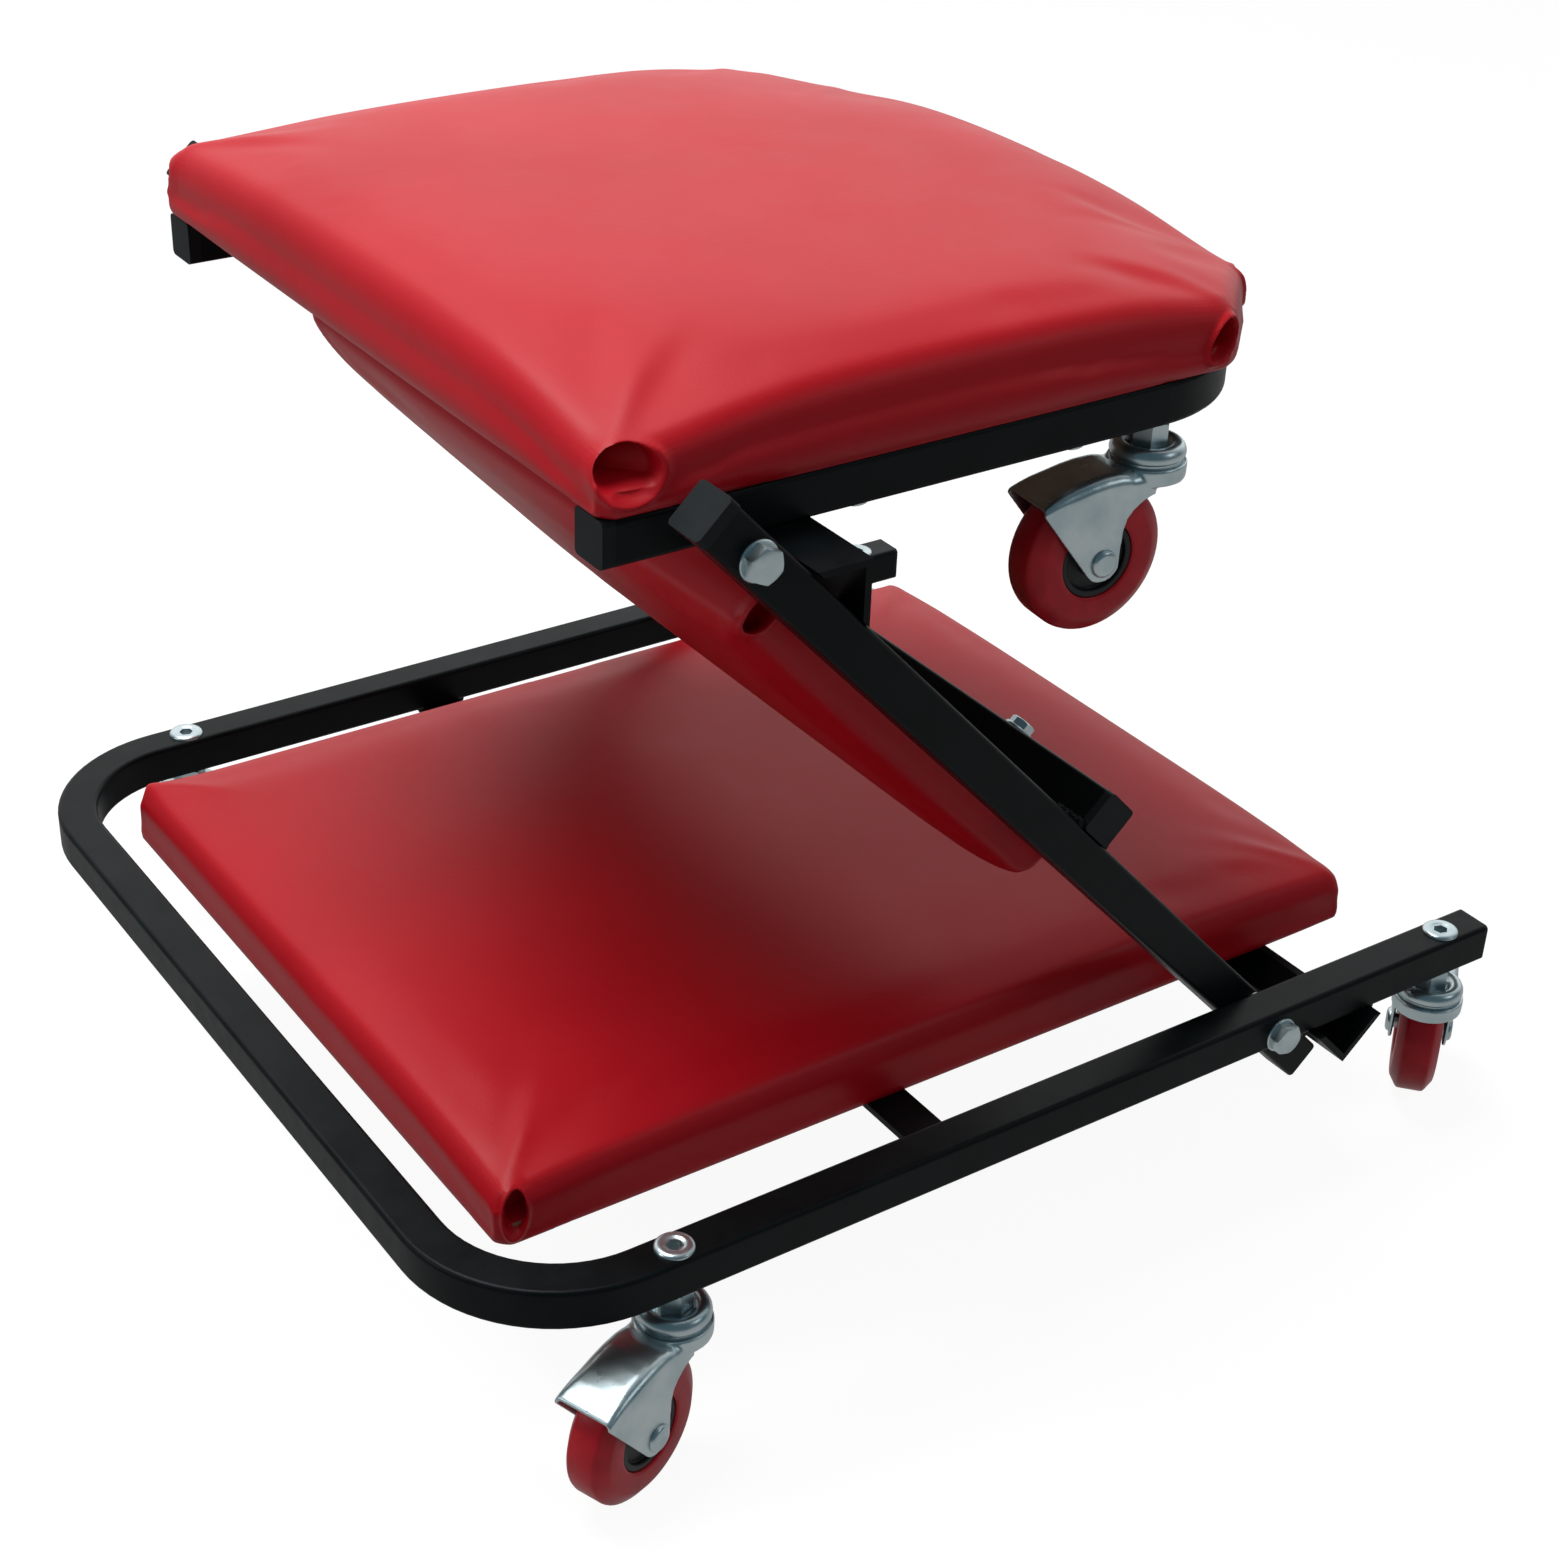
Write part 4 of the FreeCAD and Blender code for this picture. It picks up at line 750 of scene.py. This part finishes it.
def pad(name, node, body, length, width, cut, height, edge, crown, drops, place, folds):
    """A stuffed pad in its own frame: x from 0, board side at z = 0, crown up.
    A drop is how far the top sinks at a corner and over what reach; a fold is what tuck takes."""
    half = width / 2
    thing = block((length, width, height + SPARE), (length / 2, 0, (height - SPARE) / 2))
    bpy.ops.object.mode_set(mode="EDIT")
    if cut:
        pick_edges(thing, lambda a, b: upright(a, b) and a.x > length / 2)
        bpy.ops.mesh.bevel(offset=cut, segments=1, affect="EDGES")
    pick_edges(thing, upright)
    bpy.ops.mesh.bevel(offset=COVER_CORNER, segments=2, affect="EDGES")
    pick_edges(thing, lambda a, b: min(a.z, b.z) > height - 1e-5)
    bpy.ops.mesh.bevel(offset=edge, segments=6, affect="EDGES")
    bpy.ops.object.mode_set(mode="OBJECT")
    apply_modifier(thing, "REMESH", mode="VOXEL", voxel_size=VOXEL)
    apply_modifier(thing, "SMOOTH", factor=0.5, iterations=1)
    # the top rises to its crown and sinks where the cover is pulled over a corner
    corners = [(0, -half), (0, half), (length - cut, -half), (length - cut, half), (length, cut - half),
               (length, half - cut)]
    where = points_of(thing)
    x, y, z = where.T
    x_share = 1 - np.abs(2 * x / length - 1) ** 3
    y_share = 1 - np.abs(y / half) ** 3
    rise = crown * np.clip(x_share * y_share, 0, 1) ** 0.6
    for (drop, fall), (corner_x, corner_y) in zip(drops, corners):
        rise -= drop * np.exp(-(np.hypot(x - corner_x, y - corner_y) / fall) ** 1.5)
    z += rise * np.clip(z / height, 0, 1)
    where = np.stack([x, y, z], axis=1)
    move_points(thing, where)
    stuffed(thing, where)
    apply_modifier(thing, "SUBSURF", levels=1, render_levels=1)
    # finer faces where the cover is folded
    only(thing)
    bpy.ops.object.mode_set(mode="EDIT")
    bpy.ops.mesh.select_mode(type="FACE")
    for reach in (0.028, 0.022):
        bpy.ops.mesh.select_all(action="DESELECT")
        mesh = bmesh.from_edit_mesh(thing.data)
        for face in mesh.faces:
            middle = face.calc_center_median()
            face.select_set(any((middle - Vector(fold[0])).length < reach for fold in folds))
        bmesh.update_edit_mesh(thing.data)
        if folds:
            bpy.ops.mesh.subdivide(number_cuts=1)
    bpy.ops.object.mode_set(mode="OBJECT")
    where = points_of(thing)
    low = np.clip(1 - where[:, 2] / ROUND_HEIGHT, 0, 1)
    drawn = 1 - ROUND_DEPTH * (1 - np.sqrt(1 - low ** 2)) / half
    where[:, 0] = length / 2 + (where[:, 0] - length / 2) * (1 - (1 - drawn) * width / length)
    where[:, 1] *= drawn
    for fold in folds:
        tuck(where, *fold)
    move_points(thing, where)
    # the underside is flat, and the board sits in it
    combine(thing, block((2 * length, 2 * width, 4 * SPARE), (length / 2, 0, -2 * SPARE)), "DIFFERENCE")
    gap = BOARD_INSET - BOARD_GAP
    room = block((length - 2 * gap, width - 2 * gap, 2 * (BOARD_THICK + BOARD_GAP)), (length / 2, 0, 0))
    only(room)
    bpy.ops.object.mode_set(mode="EDIT")
    if cut:
        pick_edges(room, lambda a, b: upright(a, b) and a.x > length / 2)
        bpy.ops.mesh.bevel(offset=cut * (1 - gap / half), segments=1, affect="EDGES")
    pick_edges(room, upright)
    bpy.ops.mesh.bevel(offset=ROOM_CORNER, segments=4, affect="EDGES")
    bpy.ops.object.mode_set(mode="OBJECT")
    combine(thing, room, "DIFFERENCE")
    thing.data.transform(place)
    thing.name = name
    finished(thing, red_vinyl, "red_vinyl", body, node, angle=50)


# Lower pad: a large flat pad that lies on the crossbar between the base arms.
pad("lower_pad", "lower_cushion", "base", 0.4685, 0.370, 0, 0.0315, 0.010, 0.0030,
    ((0.0045, 0.034), (-0.0035, 0.020), (0.003, 0.034), (0.003, 0.034)),
    Matrix.Translation((-0.246, 0, BASE_LEVEL)),
    [((0.0085, -0.1845, 0.0150), (-0.55, -1, 0), 0.0050, 0.0100, 0.013, 0.0012)])

# Middle pad: the short pad between the two bars, screwed through the tube behind
# them, its crown to the front and down.
pad("middle_pad", "middle_cushion", "middle", 0.233, 0.372, 0, 0.0330, 0.009, 0.0015,
    ((0.0015, 0.034), (0.0015, 0.034), (0.0020, 0.034), (0.0020, 0.034)),
    Matrix.Translation(on_bars(0.129, 0, TUBE / 2)) @ Matrix.Rotation(LEAN - math.pi, 4, "Y"),
    [((0.2245, -0.1855, 0.0195), (0.5, -1, 0), 0.0050, 0.0090, 0.012, 0.0012),
     ((0.2245, 0.1855, 0.0195), (0.5, 1, 0), 0.0050, 0.0090, 0.012, 0.0012)])

# Seat pad: the thickest one, with its two front corners cut, and the widest folds.
pad("seat_pad", "seat_cushion", "top", 0.343, 0.380, 0.044, 0.0362, 0.013, 0.0065,
    ((0.0120, 0.060), (0.0040, 0.060), (0.0040, 0.034), (0.0040, 0.034), (0.0120, 0.060), (0.0120, 0.060)),
    Matrix.Translation((-0.2021, 0, 0.3975)),
    [((0.0135, -0.1895, 0.0158), (-0.25, -1, 0), 0.0128, 0.0096, 0.024, 0.0018, 0, 0.75),
     ((0.0135, 0.1895, 0.0158), (-0.25, 1, 0), 0.0128, 0.0096, 0.024, 0.0018, 0, 0.75),
     ((0.2895, -0.1895, 0.0135), (0.15, -1, 0), 0.0062, 0.0080, 0.022, 0.0022, -0.5, -0.4),
     ((0.2895, 0.1895, 0.0135), (0.15, 1, 0), 0.0062, 0.0080, 0.022, 0.0022, -0.5, -0.4),
     ((0.3425, -0.1450, 0.0140), (1, -0.3, 0), 0.0050, 0.0080, 0.010, 0.0018),
     ((0.3425, 0.1450, 0.0140), (1, 0.3, 0), 0.0050, 0.0080, 0.010, 0.0018)])
